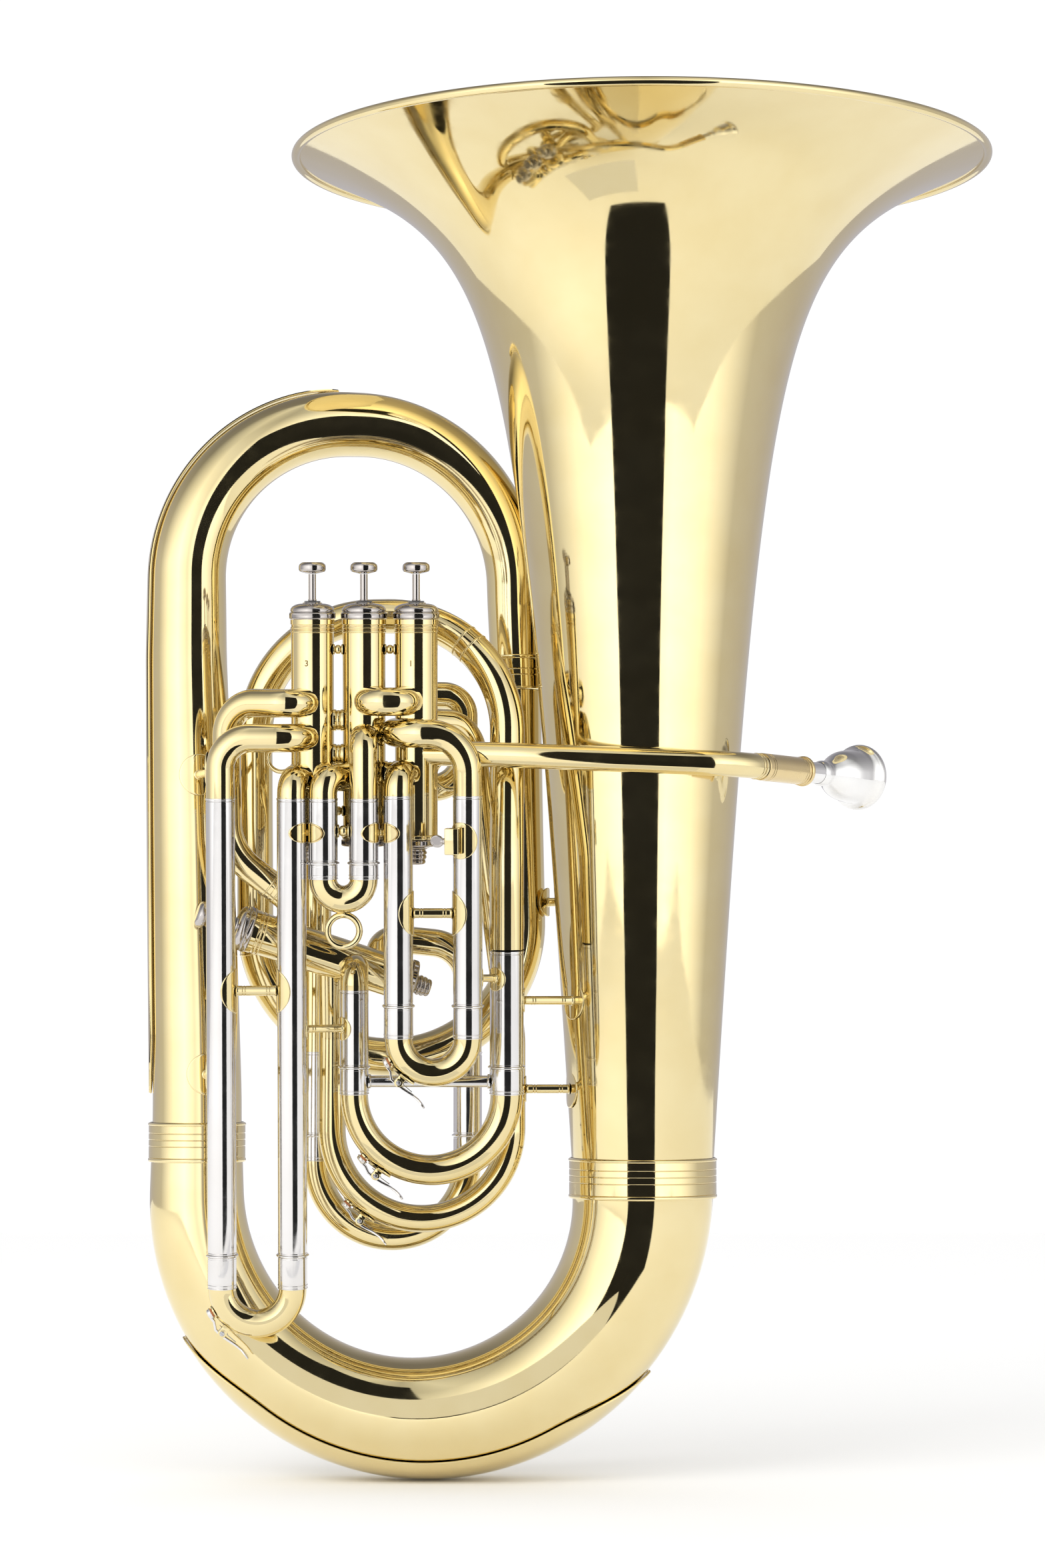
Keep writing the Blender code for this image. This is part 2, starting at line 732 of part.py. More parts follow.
def build_slide_tubes():
    """Build the fixed tubes that each slide runs in."""
    port = -64.0
    foot = SLEEVE_BORE - 0.1
    right_x = (1.0, 0.0, 0.0)
    left = Route(
        [
            in_group(-130.5, 155.9),
            in_group(-130.5, 501.6),
            in_group(-79.0, 501.6),
            group(-79.0, port, 501.6),
        ],
        [20.0, ELBOW_BEND],
        right_x,
    )
    right = Route(
        [in_group(-83.3, 155.9), in_group(-83.3, 474.5), group(-83.3, port, 474.5)],
        [ELBOW_BEND],
        right_x,
    )
    third = solid("slide_3_tubes", sleeve_shape(left, 306.0), "nickel_silver")
    combine(third, solid("slide_3_right", sleeve_shape(right, 306.0), "nickel_silver"), "UNION")
    brace = rod(in_group(-130.5 + foot, 333.7), in_group(-83.3 - foot, 333.7), 3.4, 8)
    combine(third, solid("slide_3_brace", brace, "lacquered_brass"), "UNION")
    cope(third, 3)

    left = Route(
        [in_group(-12.5, 322.6), in_group(-12.5, 477.4), group(-12.5, port, 477.4)],
        [ELBOW_BEND],
        right_x,
    )
    right = Route(
        [
            in_group(33.6, 322.6),
            in_group(33.6, 504.7),
            in_group(-11.5, 504.7),
            group(-11.5, port, 504.7),
        ],
        [26.0, ELBOW_BEND],
        right_x,
    )
    first = solid("slide_1_tubes", sleeve_shape(left, 141.0), "nickel_silver")
    combine(first, solid("slide_1_right", sleeve_shape(right, 141.0), "nickel_silver"), "UNION")
    brace = rod(in_group(-12.5 + foot, 385.4), in_group(33.6 - foot, 385.4), 3.4, 8)
    combine(first, solid("slide_1_brace", brace, "lacquered_brass"), "UNION")
    cope(first, 1)

    left = Route(
        [in_group(-62.4, 417.8), in_group(-62.4, 475.2), group(-42.0, -64.0, 475.2)],
        [ELBOW_BEND],
        right_x,
    )
    right = Route(
        [in_group(-35.4, 417.8), in_group(-35.4, 501.6), group(-35.4, port, 501.6)],
        [ELBOW_BEND],
        right_x,
    )
    second = solid("slide_2_tubes", sleeve_shape(left, 44.0), "nickel_silver")
    combine(second, solid("slide_2_right", sleeve_shape(right, 44.0), "nickel_silver"), "UNION")
    tie = rod(in_group(-62.4 + foot, 440.0), in_group(-35.4 - foot, 440.0), 3.0, 8)
    combine(second, solid("slide_2_tie", tie, "lacquered_brass"), "UNION")
    cope(second, 2)

    left = Route(
        [main(MAIN_X[0], 279.4), main(MAIN_X[0], 345.4), (-43.1, -28.0, 348.0)],
        [ELBOW_BEND],
        right_x,
    )
    main_left = solid("main_slide_left_tube", sleeve_shape(left, 53.0), "nickel_silver")
    cope(main_left, 4)
    right = Route([main(MAIN_X[1], 279.4), main(MAIN_X[1], 359.2)], [], right_x)
    wide = sleeve_shape(right, 79.0, WIDE_LEG)
    solid("main_slide_right_tube", wide, "nickel_silver")

    left = Route(
        [(-70.5, 5.0, 232.0), (-70.5, 5.0, 457.0), (-70.5, -38.0, 462.0)],
        [22.0],
        right_x,
    )
    fourth_left = solid("slide_4_left_tube", sleeve_shape(left, 58.0), "nickel_silver")
    cope(fourth_left, 3)
    right = Route(
        [(32.5, 5.0, 232.0), (32.5, 5.0, 362.0), (-27.0, -2.0, 368.0), (-27.0, -22.0, 346.0)],
        [26.0, 14.0],
        right_x,
    )
    fourth_right = solid("slide_4_right_tube", sleeve_shape(right, 58.0), "nickel_silver")
    cope(fourth_right, 4)


def build_slides():
    """Build the five slides that pull out, with the saddles of their water keys."""
    for name, (place, left, right, ring, ferrule, depth) in SLIDES.items():
        wide = (0.0, WIDE_LEG) if name == "main_slide" else (0.0, 0.0)
        shape = slide_shape(place, left, right, ring, ferrule, depth, wide)
        thing = solid(name, shape, "lacquered_brass", place((left + right) / 2, ring))
        if name in WATER_KEYS:
            add_saddle(thing, name)
        if name == "slide_2":
            add_pull_ring(thing)
        if name == "main_slide":
            add_pull_bar(thing)


def add_pull_ring(thing):
    """Join the finger ring under the second slide."""
    place, left, right, ring, ferrule, depth = SLIDES["slide_2"]
    lowest = ferrule - (right - left) / 2 - BOW_TUBE_RADIUS
    middle = place((left + right) / 2, lowest - 11.6)
    facing = Matrix.Rotation(GROUP_LEAN, 3, "X") @ Vector((0.0, 1.0, 0.0))
    hoop = Matrix.Translation(middle) @ aimed((0.0, 0.0, 0.0), facing).to_3x3().to_4x4()
    rings = []
    count = 12
    for index in range(count):
        angle = 2 * pi * index / count
        centre = hoop @ Vector((10.8 * cos(angle), 10.8 * sin(angle), 0.0))
        along = hoop.to_3x3() @ Vector((-sin(angle), cos(angle), 0.0))
        rings.append((aimed(centre, along, facing), 2.0))
    combine(thing, solid("slide_2_ring", sweep(rings, 6, closed=True), "lacquered_brass"), "UNION")


def add_pull_bar(thing):
    """Join the bar across the main slide's ferrules."""
    bar = rod(main(MAIN_X[0] + 9.2, 270.5), main(MAIN_X[1] - 10.9, 270.5), 4.0, 8)
    combine(thing, solid("main_slide_bar", bar, "nickel_silver"), "UNION")


# Connecting tubes ---------------------------------------------------------------


MIDDLE_BOW = Route(
    [
        (-59.3, -24.0, 346.0),
        (-59.3, -15.0, 300.0),
        (-59.3, -15.0, 177.3),
        (62.7, -15.0, 177.3),
        (62.7, -15.0, 300.0),
        (34.0, -31.0, 512.0),
        (-1.0, -56.0, 512.0),
    ],
    [20.0, 60.9, 60.9, 60.0, 22.0],
    across=(1.0, 0.0, 0.0),
)


def build_connecting_tubes():
    """Build the fixed tubes between the valves."""
    fourth, length = VALVE_FRAMES[4]
    landing = fourth @ Vector((0.0, 0.0, 90.0))
    out = Vector((0.36, -0.58, 0.73)).normalized()
    transfer = Route(
        [
            group(-79.0, -64.0, 524.5),
            in_group(-79.0, 524.5),
            group(-128.0, -63.5, 524.5),
            group(-127.0, -63.5, 425.0),
            landing + out * 32.0,
            landing + out * 10.0,
        ],
        [ELBOW_BEND, 22.0, 40.0, 15.0],
    )
    piece = solid("transfer_tube", tube(transfer, BRASS_RADIUS, 0.5), "lacquered_brass")
    cope(piece, 3, 4)
    knuckle = Route(
        [
            group(-31.0, -66.0, 525.8),
            in_group(-31.0, 525.8),
            in_group(-10.0, 525.8),
            group(-10.0, -66.0, 525.8),
        ],
        [ELBOW_BEND, ELBOW_BEND],
    )
    piece = solid("front_knuckle", tube(knuckle, BRASS_RADIUS, 0.5), "lacquered_brass")
    cope(piece, 1, 2)
    piece = solid("fourth_valve_branch", tube(MIDDLE_BOW, BOW_TUBE_RADIUS, 0.5), "lacquered_brass")
    add_saddle(piece, "fourth_valve_branch")
    cope(piece, 1, 4)
    loop = Route(
        [
            (-1.0, -56.0, 533.0),
            (-1.0, -14.0, 533.0),
            (30.0, -8.0, 533.0),
            (30.0, -6.0, 470.0),
            (-36.0, -10.0, 470.0),
            (-36.0, -50.0, 470.0),
        ],
        [13.0, 14.0, 22.0, 22.0],
    )
    piece = solid("compensating_loop", tube(loop, BOW_TUBE_RADIUS, 0.5), "lacquered_brass")
    cope(piece, 1, 2)


# Water keys ---------------------------------------------------------------------

WATER_KEYS = {
    "slide_1": 232.0,
    "slide_3": 232.0,
    "main_slide": 236.0,
    "fourth_valve_branch": 236.0,
}
KEY_PIVOT_RISE = 5.0
KEY_CORK_STEP = 13.0
KEY_TIP_REACH = 24.0


def key_frame(name):
    """Return a frame on a bow at its water key, with Z out of the bow and X along it."""
    if name == "fourth_valve_branch":
        place, left, right, ferrule = straight_up(-15.0), -59.3, 62.7, 238.3
    else:
        place, left, right, ring, ferrule, depth = SLIDES[name]
    half = (right - left) / 2
    angle = radians(WATER_KEYS[name])
    middle = (left + right) / 2
    size = half + BOW_TUBE_RADIUS + (0.5 if name == "main_slide" else 0.0)
    foot = place(middle + size * cos(angle), ferrule + size * sin(angle))
    centre = place(middle, ferrule)
    outward = (foot - centre).normalized()
    depth_axis = (place(middle + 1, ferrule) - centre).cross(place(middle, ferrule + 1) - centre)
    along = depth_axis.cross(outward)
    turn = Matrix((along, -depth_axis, outward)).transposed()
    return Matrix.Translation(foot) @ turn.to_4x4(), size


def add_saddle(thing, name):
    """Join the two cheeks and the pin of a water key to its bow."""
    frame, size = key_frame(name)
    for side in (-1, 1):
        cheek = box(frame @ Matrix.Translation((0.0, 3.4 * side, 2.6)), (4.4, 1.4, 9.0))
        combine(thing, solid(f"{name}_cheek_{side + 1}", cheek, "lacquered_brass"), "UNION")
    ends = [frame @ Vector((0.0, 3.6 * side, KEY_PIVOT_RISE)) for side in (-1, 1)]
    pin = rod(ends[0], ends[1], 0.7, 6)
    combine(thing, solid(f"{name}_pin", pin, "spring_steel"), "UNION")


def build_water_keys():
    """Build the rocking lever of each water key, with its origin on the pin."""
    for name in WATER_KEYS:
        frame, size = key_frame(name)
        pivot = frame @ Vector((0.0, 0.0, KEY_PIVOT_RISE))
        barrel = [(-2.3, 2.2), (2.3, 2.2), (2.3, 1.1), (-2.3, 1.1)]
        axle = aimed(pivot, frame.to_3x3() @ Vector((0.0, 1.0, 0.0)), frame.col[2].xyz)
        lever = solid(
            f"{name}_water_key", turned(axle, barrel, 8, closed=True), "lacquered_brass", pivot
        )
        sag = KEY_CORK_STEP ** 2 / (2 * size)
        seat = frame @ Vector((-KEY_CORK_STEP, 0.0, -sag + GAP + 0.5))
        tilt = Vector((-KEY_CORK_STEP / size, 0.0, 1.0))
        cup = turned(aimed(seat, frame.to_3x3() @ tilt), [(0.0, 3.6), (3.2, 3.6)], 8)
        combine(lever, solid(f"{name}_cup", cup, "lacquered_brass"), "UNION")
        arms = (
            ("back", (-1.5, 0.0, KEY_PIVOT_RISE + 0.6), (1.0 - KEY_CORK_STEP, 0.0, 3.0 - sag)),
            ("front", (1.5, 0.0, KEY_PIVOT_RISE + 0.6), (KEY_TIP_REACH, 0.0, KEY_PIVOT_RISE + 3)),
        )
        for label, start, end in arms:
            arm = rod(frame @ Vector(start), frame @ Vector(end), 1.4, 6)
            combine(lever, solid(f"{name}_arm_{label}", arm, "lacquered_brass"), "UNION")


# Mouthpiece line ----------------------------------------------------------------


def build_mouthpiece_line():
    """Build the leadpipe, the receiver and the mouthpiece."""
    corner = RECEIVER_START - MOUTH_DIRECTION * 30.0
    end = RECEIVER_START - MOUTH_DIRECTION * GAP
    lead = Route([group(6.0, -62.0, 491.0), (60.0, -79.0, 488.0), corner, end], [80.0, 44.0])
    piece = solid("leadpipe", tube(lead, 8.4, 0.6), "lacquered_brass")
    cope(piece, 1)
    frame = aimed(RECEIVER_START, MOUTH_DIRECTION)
    receiver = [
        (0.0, 8.6),
        (RECEIVER_LENGTH - 4.0, 9.2),
        (RECEIVER_LENGTH - 4.0, 10.2),
        (RECEIVER_LENGTH, 10.2),
        (RECEIVER_LENGTH, 7.4),
        (0.0, 6.4),
    ]
    solid("mouthpiece_receiver", turned(frame, receiver, closed=True), "lacquered_brass")
    seat = frame @ Matrix.Translation((0.0, 0.0, RECEIVER_LENGTH - SHANK_DEPTH))
    end = MOUTHPIECE_LENGTH
    outer = [
        (0.0, 6.1),
        (46.0, 7.2),
        (52.0, 8.6),
        (56.0, 7.6),
        (62.0, 10.5),
        (70.0, 16.4),
        (84.0, 18.2),
        (90.0, 19.4),
        (93.0, 22.3),
        (end - 1.5, 22.5),
        (end, 20.6),
        (end, 18.4),
    ]
    inner = [
        (end - 2.5, 16.4),
        (82.0, 15.2),
        (72.0, 11.0),
        (64.0, 4.2),
        (58.0, 4.0),
        (0.0, 5.3),
    ]
    shape = turned(seat, outer + inner, sides=18, closed=True)
    solid("mouthpiece", shape, "silver_plate", seat.translation)


# Small fittings -----------------------------------------------------------------


def build_lyre_socket():
    """Build the lyre socket on the first slide and its thumbscrew."""
    facing = Matrix.Rotation(GROUP_LEAN, 3, "X")
    middle = group(23.6, SLIDE_BACK - SLEEVE_RADIUS - 4.0, 434.0)
    frame = Matrix.Translation(middle) @ facing.to_4x4()
    socket = solid("lyre_socket", box(frame, (9.2, 9.0, 17.5)), "lacquered_brass")
    opening = box(frame @ Matrix.Translation((0.8, 0.0, 0.0)), (5.4, 5.4, 30.0))
    combine(socket, solid("lyre_slot", opening, "nickel_plate"), "DIFFERENCE")
    thread = rod(frame @ Vector((-6.0, 0.0, 0.0)), frame @ Vector((-1.0, 0.0, 0.0)), 1.9)
    combine(socket, solid("lyre_thread", thread, "nickel_plate"), "DIFFERENCE")
    across = frame.to_3x3() @ Vector((-1.0, 0.0, 0.0))
    start = frame @ Vector((-1.8, 0.0, 0.0))
    shank = [(0.0, 1.5), (5.0, 1.5), (5.0, 4.3), (9.0, 4.3), (9.0, 1.0)]
    screw = turned(aimed(start, across, (0.0, 0.0, 1.0)), shank, 8)
    solid("lyre_screw", screw, "nickel_plate", start)


def build_bell_braces():
    """Build the two struts between the valve side tubing and the bell."""
    height = 325.0
    reach = bell_radius(height) + 1.4
    heading = atan2(-26.0, -46.0)
    foot = Vector((BELL_X + reach * cos(heading), reach * sin(heading), height))
    sleeve = main(MAIN_X[1], height)
    away = (foot - sleeve).normalized()
    start = sleeve + away * (SLEEVE_RADIUS + WIDE_LEG + 0.6)
    solid("bell_brace_upper", rod(start, foot, 3.0, 8), "lacquered_brass")
    height = 265.0
    reach = bell_radius(height) + 1.4
    heading = atan2(-13.0, -50.0)
    foot = Vector((BELL_X + reach * cos(heading), reach * sin(heading), height))
    start = Vector((62.7 + BOW_TUBE_RADIUS + GAP + 0.2, -15.0, height))
    solid("bell_brace_lower", rod(start, foot, 3.0, 8), "lacquered_brass")


def build_tuba():
    """Build every piece."""
    clear_scene()
    build_bell()
    build_bottom_bow()
    build_top_bow()
    build_inner_branch()
    build_valves()
    build_slide_tubes()
    build_slides()
    build_connecting_tubes()
    build_water_keys()
    build_mouthpiece_line()
    build_lyre_socket()
    build_bell_braces()


build_tuba()
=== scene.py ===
"""Detailed visual model of a four-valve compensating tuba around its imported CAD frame.

Lengths are in millimetres along the axes of the CAD part: X from the outer branch to the
bell, Y away from the valve side and Z up the bell, with the origin under the bottom bow.
make_piece() turns them into metres. Each class is one sub-assembly: its sizes are fields,
and its build() makes the pieces, dresses them and ties them to the bodies they move with.
"""

import json
import logging
from collections.abc import Callable, Sequence
from dataclasses import dataclass, field
from enum import Enum
from math import atan2, ceil, cos, exp, pi, radians, sin, sqrt, tan

import bmesh
import bpy
from mathutils import Matrix, Vector

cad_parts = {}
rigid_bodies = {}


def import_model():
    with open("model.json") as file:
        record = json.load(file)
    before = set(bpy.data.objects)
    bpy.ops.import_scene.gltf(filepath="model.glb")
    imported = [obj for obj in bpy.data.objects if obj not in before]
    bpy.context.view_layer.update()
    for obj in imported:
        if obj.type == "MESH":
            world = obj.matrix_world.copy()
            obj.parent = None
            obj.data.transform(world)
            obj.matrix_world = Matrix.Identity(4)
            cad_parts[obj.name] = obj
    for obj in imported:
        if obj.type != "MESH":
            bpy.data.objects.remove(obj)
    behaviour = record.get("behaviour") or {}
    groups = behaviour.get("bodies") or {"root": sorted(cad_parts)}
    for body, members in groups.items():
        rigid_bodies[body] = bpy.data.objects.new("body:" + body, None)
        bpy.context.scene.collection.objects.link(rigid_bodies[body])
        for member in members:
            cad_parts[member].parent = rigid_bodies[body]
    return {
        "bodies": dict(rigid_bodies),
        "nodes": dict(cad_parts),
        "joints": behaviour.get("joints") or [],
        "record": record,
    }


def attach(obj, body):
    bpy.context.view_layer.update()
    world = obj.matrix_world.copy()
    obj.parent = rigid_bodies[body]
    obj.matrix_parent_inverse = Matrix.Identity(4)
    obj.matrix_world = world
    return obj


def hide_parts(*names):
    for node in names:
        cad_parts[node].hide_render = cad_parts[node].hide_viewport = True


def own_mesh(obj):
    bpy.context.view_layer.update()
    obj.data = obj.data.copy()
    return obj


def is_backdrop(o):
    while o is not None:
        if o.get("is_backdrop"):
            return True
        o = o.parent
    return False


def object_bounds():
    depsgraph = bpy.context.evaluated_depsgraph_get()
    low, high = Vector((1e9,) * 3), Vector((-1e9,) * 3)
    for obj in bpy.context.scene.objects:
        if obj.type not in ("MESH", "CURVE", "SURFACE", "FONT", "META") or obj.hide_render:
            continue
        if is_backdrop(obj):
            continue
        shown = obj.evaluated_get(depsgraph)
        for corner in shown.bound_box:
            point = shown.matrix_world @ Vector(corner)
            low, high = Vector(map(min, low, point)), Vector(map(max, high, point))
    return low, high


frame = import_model()
CAD_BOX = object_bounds()

LOG = logging.getLogger("tuba")
MM = 0.001
GAP = 0.3
FRONT = Vector((0.0, -1.0, 0.0))
RIGHT = Vector((1.0, 0.0, 0.0))
UP = Vector((0.0, 0.0, 1.0))

BMesh = bmesh.types.BMesh
BMVert = bmesh.types.BMVert
Thing = bpy.types.Object
Socket = bpy.types.NodeSocket
Colour = tuple[float, float, float]
Ring = tuple[Matrix, tuple[float, float]]
Points = Sequence[tuple[float, float]]
Radius = Callable[[float], float]
Pair = tuple[float, float]
Feeds = dict[str | int, object]
NEARLY_PARALLEL = 0.99
CREASE_RANGE = (0.40, 0.47)
CRISP = radians(38.0)


# Frames and routes


def aimed(point: Vector, heading: Vector, across: Vector = -FRONT) -> Matrix:
    """Place a frame whose Z is a heading.

    Args:
        point: Where the frame stands.
        heading: The direction of its Z axis.
        across: A direction that its X axis stays close to.

    Returns:
        The frame as a 4 by 4 matrix.
    """
    forward = Vector(heading).normalized()
    guide = Vector(across).normalized()
    if abs(guide.dot(forward)) > NEARLY_PARALLEL:
        guide = guide.yzx
    side = (guide - forward * guide.dot(forward)).normalized()
    turn = Matrix((side, forward.cross(side), forward)).transposed()
    return Matrix.Translation(Vector(point)) @ turn.to_4x4()


def moved(frame_at: Matrix, x: float, y: float, z: float) -> Matrix:
    """Shift a frame along its own axes."""
    return frame_at @ Matrix.Translation((x, y, z))


def round_off(place: Matrix) -> Matrix:
    """Turn a frame a quarter about its X, so that its Z lies along the old Y."""
    return place @ Matrix.Rotation(pi / 2, 4, "X")


@dataclass(frozen=True)
class Block:
    """An upright block of tubing that leans about the X axis at its pivot."""

    pivot: Vector
    lean: float

    @property
    def turn(self) -> Matrix:
        """The block's lean as a rotation."""
        return Matrix.Rotation(self.lean, 3, "X")

    @property
    def up(self) -> Vector:
        """The block's own upward direction."""
        return self.turn @ UP

    def at(self, x: float, back: float, up: float) -> Vector:
        """Give the place that a point of the upright block leans to."""
        return self.pivot + self.turn @ (Vector((x, back, up)) - self.pivot)

    def frame(self, point: Vector) -> Matrix:
        """Give a frame at a point with X across, Y back and Z up the block."""
        return Matrix.Translation(point) @ self.turn.to_4x4()


VALVE_GROUP = Block(Vector((0.0, -58.0, 430.0)), radians(6.0))
MAIN_GROUP = Block(Vector((0.0, -44.0, 280.0)), radians(4.8))
VALVE_BACK = -58.0
SLIDE_BACK = -86.0


def group(x: float, back: float, up: float) -> Vector:
    """Give a place in the valve group."""
    return VALVE_GROUP.at(x, back, up)


def front(x: float, up: float) -> Vector:
    """Give a place in the plane of the three front slides."""
    return VALVE_GROUP.at(x, SLIDE_BACK, up)


def main_plane(x: float, up: float) -> Vector:
    """Give a place in the plane of the main slide."""
    return MAIN_GROUP.at(x, MAIN_GROUP.pivot.y, up)


def fourth_plane(x: float, up: float) -> Vector:
    """Give a place in the plane of the fourth slide."""
    return Vector((x, 5.0, up))


def branch_plane(x: float, up: float) -> Vector:
    """Give a place in the plane of the fourth valve's branch."""
    return Vector((x, -15.0, up))


@dataclass(frozen=True)
class Span:
    """One straight run or arc of a route."""

    start: float
    length: float
    frame: Matrix
    centre: Vector | None = None
    axis: Vector | None = None
    turn: float = 0.0

    def at(self, along: float) -> Matrix:
        """Give the frame at a length along the whole route."""
        if self.centre is None:
            return moved(self.frame, 0.0, 0.0, along - self.start)
        shift = Matrix.Translation(self.centre)
        angle = self.turn * (along - self.start) / self.length
        return shift @ Matrix.Rotation(angle, 4, self.axis) @ shift.inverted() @ self.frame


class Route:
    """The centre line of a tube: straight runs joined by arcs."""

    def __init__(
        self, corners: Sequence[Sequence[float]], bends: Sequence[float], across: Vector = -FRONT,
    ) -> None:
        """Lay the route.

        Args:
            corners: The points where the straight runs would meet.
            bends: The radius of the arc at each inner corner.
            across: A direction for the X axis of the first frame.
        """
        points = [Vector(point) for point in corners]
        self.spans: list[Span] = []
        self.length = 0.0
        now = aimed(points[0], points[1] - points[0], across)
        for before, corner, after, bend in zip(points, points[1:], points[2:], bends):
            incoming = (corner - before).normalized()
            outgoing = (after - corner).normalized()
            turn = incoming.angle(outgoing)
            if turn < 0.0001:
                continue
            now = self.run(now, corner - incoming * bend * tan(turn / 2))
            axis = incoming.cross(outgoing).normalized()
            now = self.arc(now, axis, bend, turn)
        self.run(now, points[-1])

    def run(self, now: Matrix, end: Vector) -> Matrix:
        """Add a straight run from a frame to a point and give the frame at its end."""
        return self.add(Span(self.length, (end - now.translation).length, now))

    def arc(self, now: Matrix, axis: Vector, bend: float, turn: float) -> Matrix:
        """Add an arc about an axis, with its radius and angle, and give the frame at its end."""
        centre = now.translation + axis.cross(now.col[2].xyz) * bend
        return self.add(Span(self.length, bend * turn, now, centre, axis, turn))

    def add(self, span: Span) -> Matrix:
        """Append a span and give the frame at its end."""
        self.spans.append(span)
        self.length += span.length
        return span.at(self.length)

    def frame(self, along: float) -> Matrix:
        """Give the frame at a length along the route."""
        for span in self.spans:
            if along <= span.start + span.length + 1e-6:
                return span.at(along)
        return self.spans[-1].at(along)

    def heading(self, along: float) -> Vector:
        """Give the direction of travel at a length along the route."""
        return self.frame(along).col[2].xyz

    def marks(self, first: float, last: float, step: float, spacing: float) -> list[float]:
        """Choose where a skin along the route has its rings.

        Args:
            first: Length at the start of the skin.
            last: Length at its end.
            step: Largest angle between rings on an arc.
            spacing: Largest distance between rings on a straight run.

        Returns:
            The lengths in order, both ends included.
        """
        found = [first]
        for span in self.spans:
            count = ceil(max(span.turn / step, span.length / spacing, 1.0) - 0.001)
            for index in range(count + 1):
                along = span.start + span.length * index / count
                if found[-1] + 0.05 < along < last - 0.05:
                    found.append(along)
        return [*found, last]


# Skins


class Section(Enum):
    """The cross-section of a swept piece."""

    ROUND = 2.0
    BAR = 6.0


@dataclass
class Swept:
    """A skinned shape with the loops of corners that it was drawn through."""

    shape: BMesh
    loops: list[list[BMVert]]


def sweep(
    rings: Sequence[Ring], sides: int, closed: bool, section: Section = Section.ROUND,
) -> Swept:
    """Skin a cross-section through a row of rings.

    Args:
        rings: The frame and the two half widths of each ring.
        sides: Corners of the cross-section.
        closed: Whether the last ring joins the first; if not, both ends are capped.
        section: The cross-section.

    Returns:
        The shape and its loops.
    """
    shape = bmesh.new()
    made = bmesh.ops.create_circle(shape, cap_ends=not closed, segments=sides, radius=1.0)
    verts = list(made["verts"])
    if section is Section.BAR:
        for vert in verts:
            x, y = vert.co.x, vert.co.y
            power = section.value
            reach = (abs(x) ** power + abs(y) ** power) ** (1 / power)
            vert.co = Vector((x / reach, y / reach, 0.0))
    places = [frame_at @ Matrix.Diagonal((*size, 1.0, 1.0)) for frame_at, size in rings]
    bmesh.ops.transform(shape, matrix=places[0], verts=verts)
    first = list(shape.edges)
    edges = first
    loops = [verts]
    for place, following in zip(places, places[1:]):
        grown = bmesh.ops.extrude_edge_only(shape, edges=edges)["geom"]
        verts = [item for item in grown if isinstance(item, BMVert)]
        ring = set(verts)
        edges = [
            item
            for item in grown
            if isinstance(item, bmesh.types.BMEdge) and ring.issuperset(item.verts)
        ]
        bmesh.ops.transform(shape, matrix=following @ place.inverted(), verts=verts)
        loops.append(verts)
    if closed:
        bmesh.ops.bridge_loops(shape, edges=first + edges)
    else:
        bmesh.ops.contextual_create(shape, geom=edges)
    return Swept(shape, loops)


def supported(outline: Points) -> list[Vector]:
    """Add a point beside each corner of an outline that ends a long straight run.

    Args:
        outline: Its (height, radius) points.

    Returns:
        The points with the new ones among them.
    """
    corners = [Vector(point) for point in outline]
    steps = [after - before for before, after in zip(corners, corners[1:])]
    rows = [corners[0]]
    for index, (corner, step) in enumerate(zip(corners, steps)):
        if step.length > 3.0:
            near = 0.7 / step.length
            if index and steps[index - 1].angle(step, 0.0) > 0.2:
                rows.append(corner + step * near)
            if index + 1 < len(steps) and step.angle(steps[index + 1], 0.0) > 0.2:
                rows.append(corner + step * (1 - near))
        rows.append(corner + step)
    return rows


def lathe(axis: Matrix, outline: Points, sides: int = 64, closed: bool = False) -> BMesh:
    """Turn an outline about the Z axis of a frame.

    Args:
        axis: The frame.
        outline: Its (height, radius) points.
        sides: Corners around.
        closed: Whether the outline closes on itself, as a ring's does.

    Returns:
        The turned shape.
    """
    rings = [
        (moved(axis, 0.0, 0.0, height), (radius, radius))
        for height, radius in supported(outline)
    ]
    return sweep(rings, sides, closed).shape


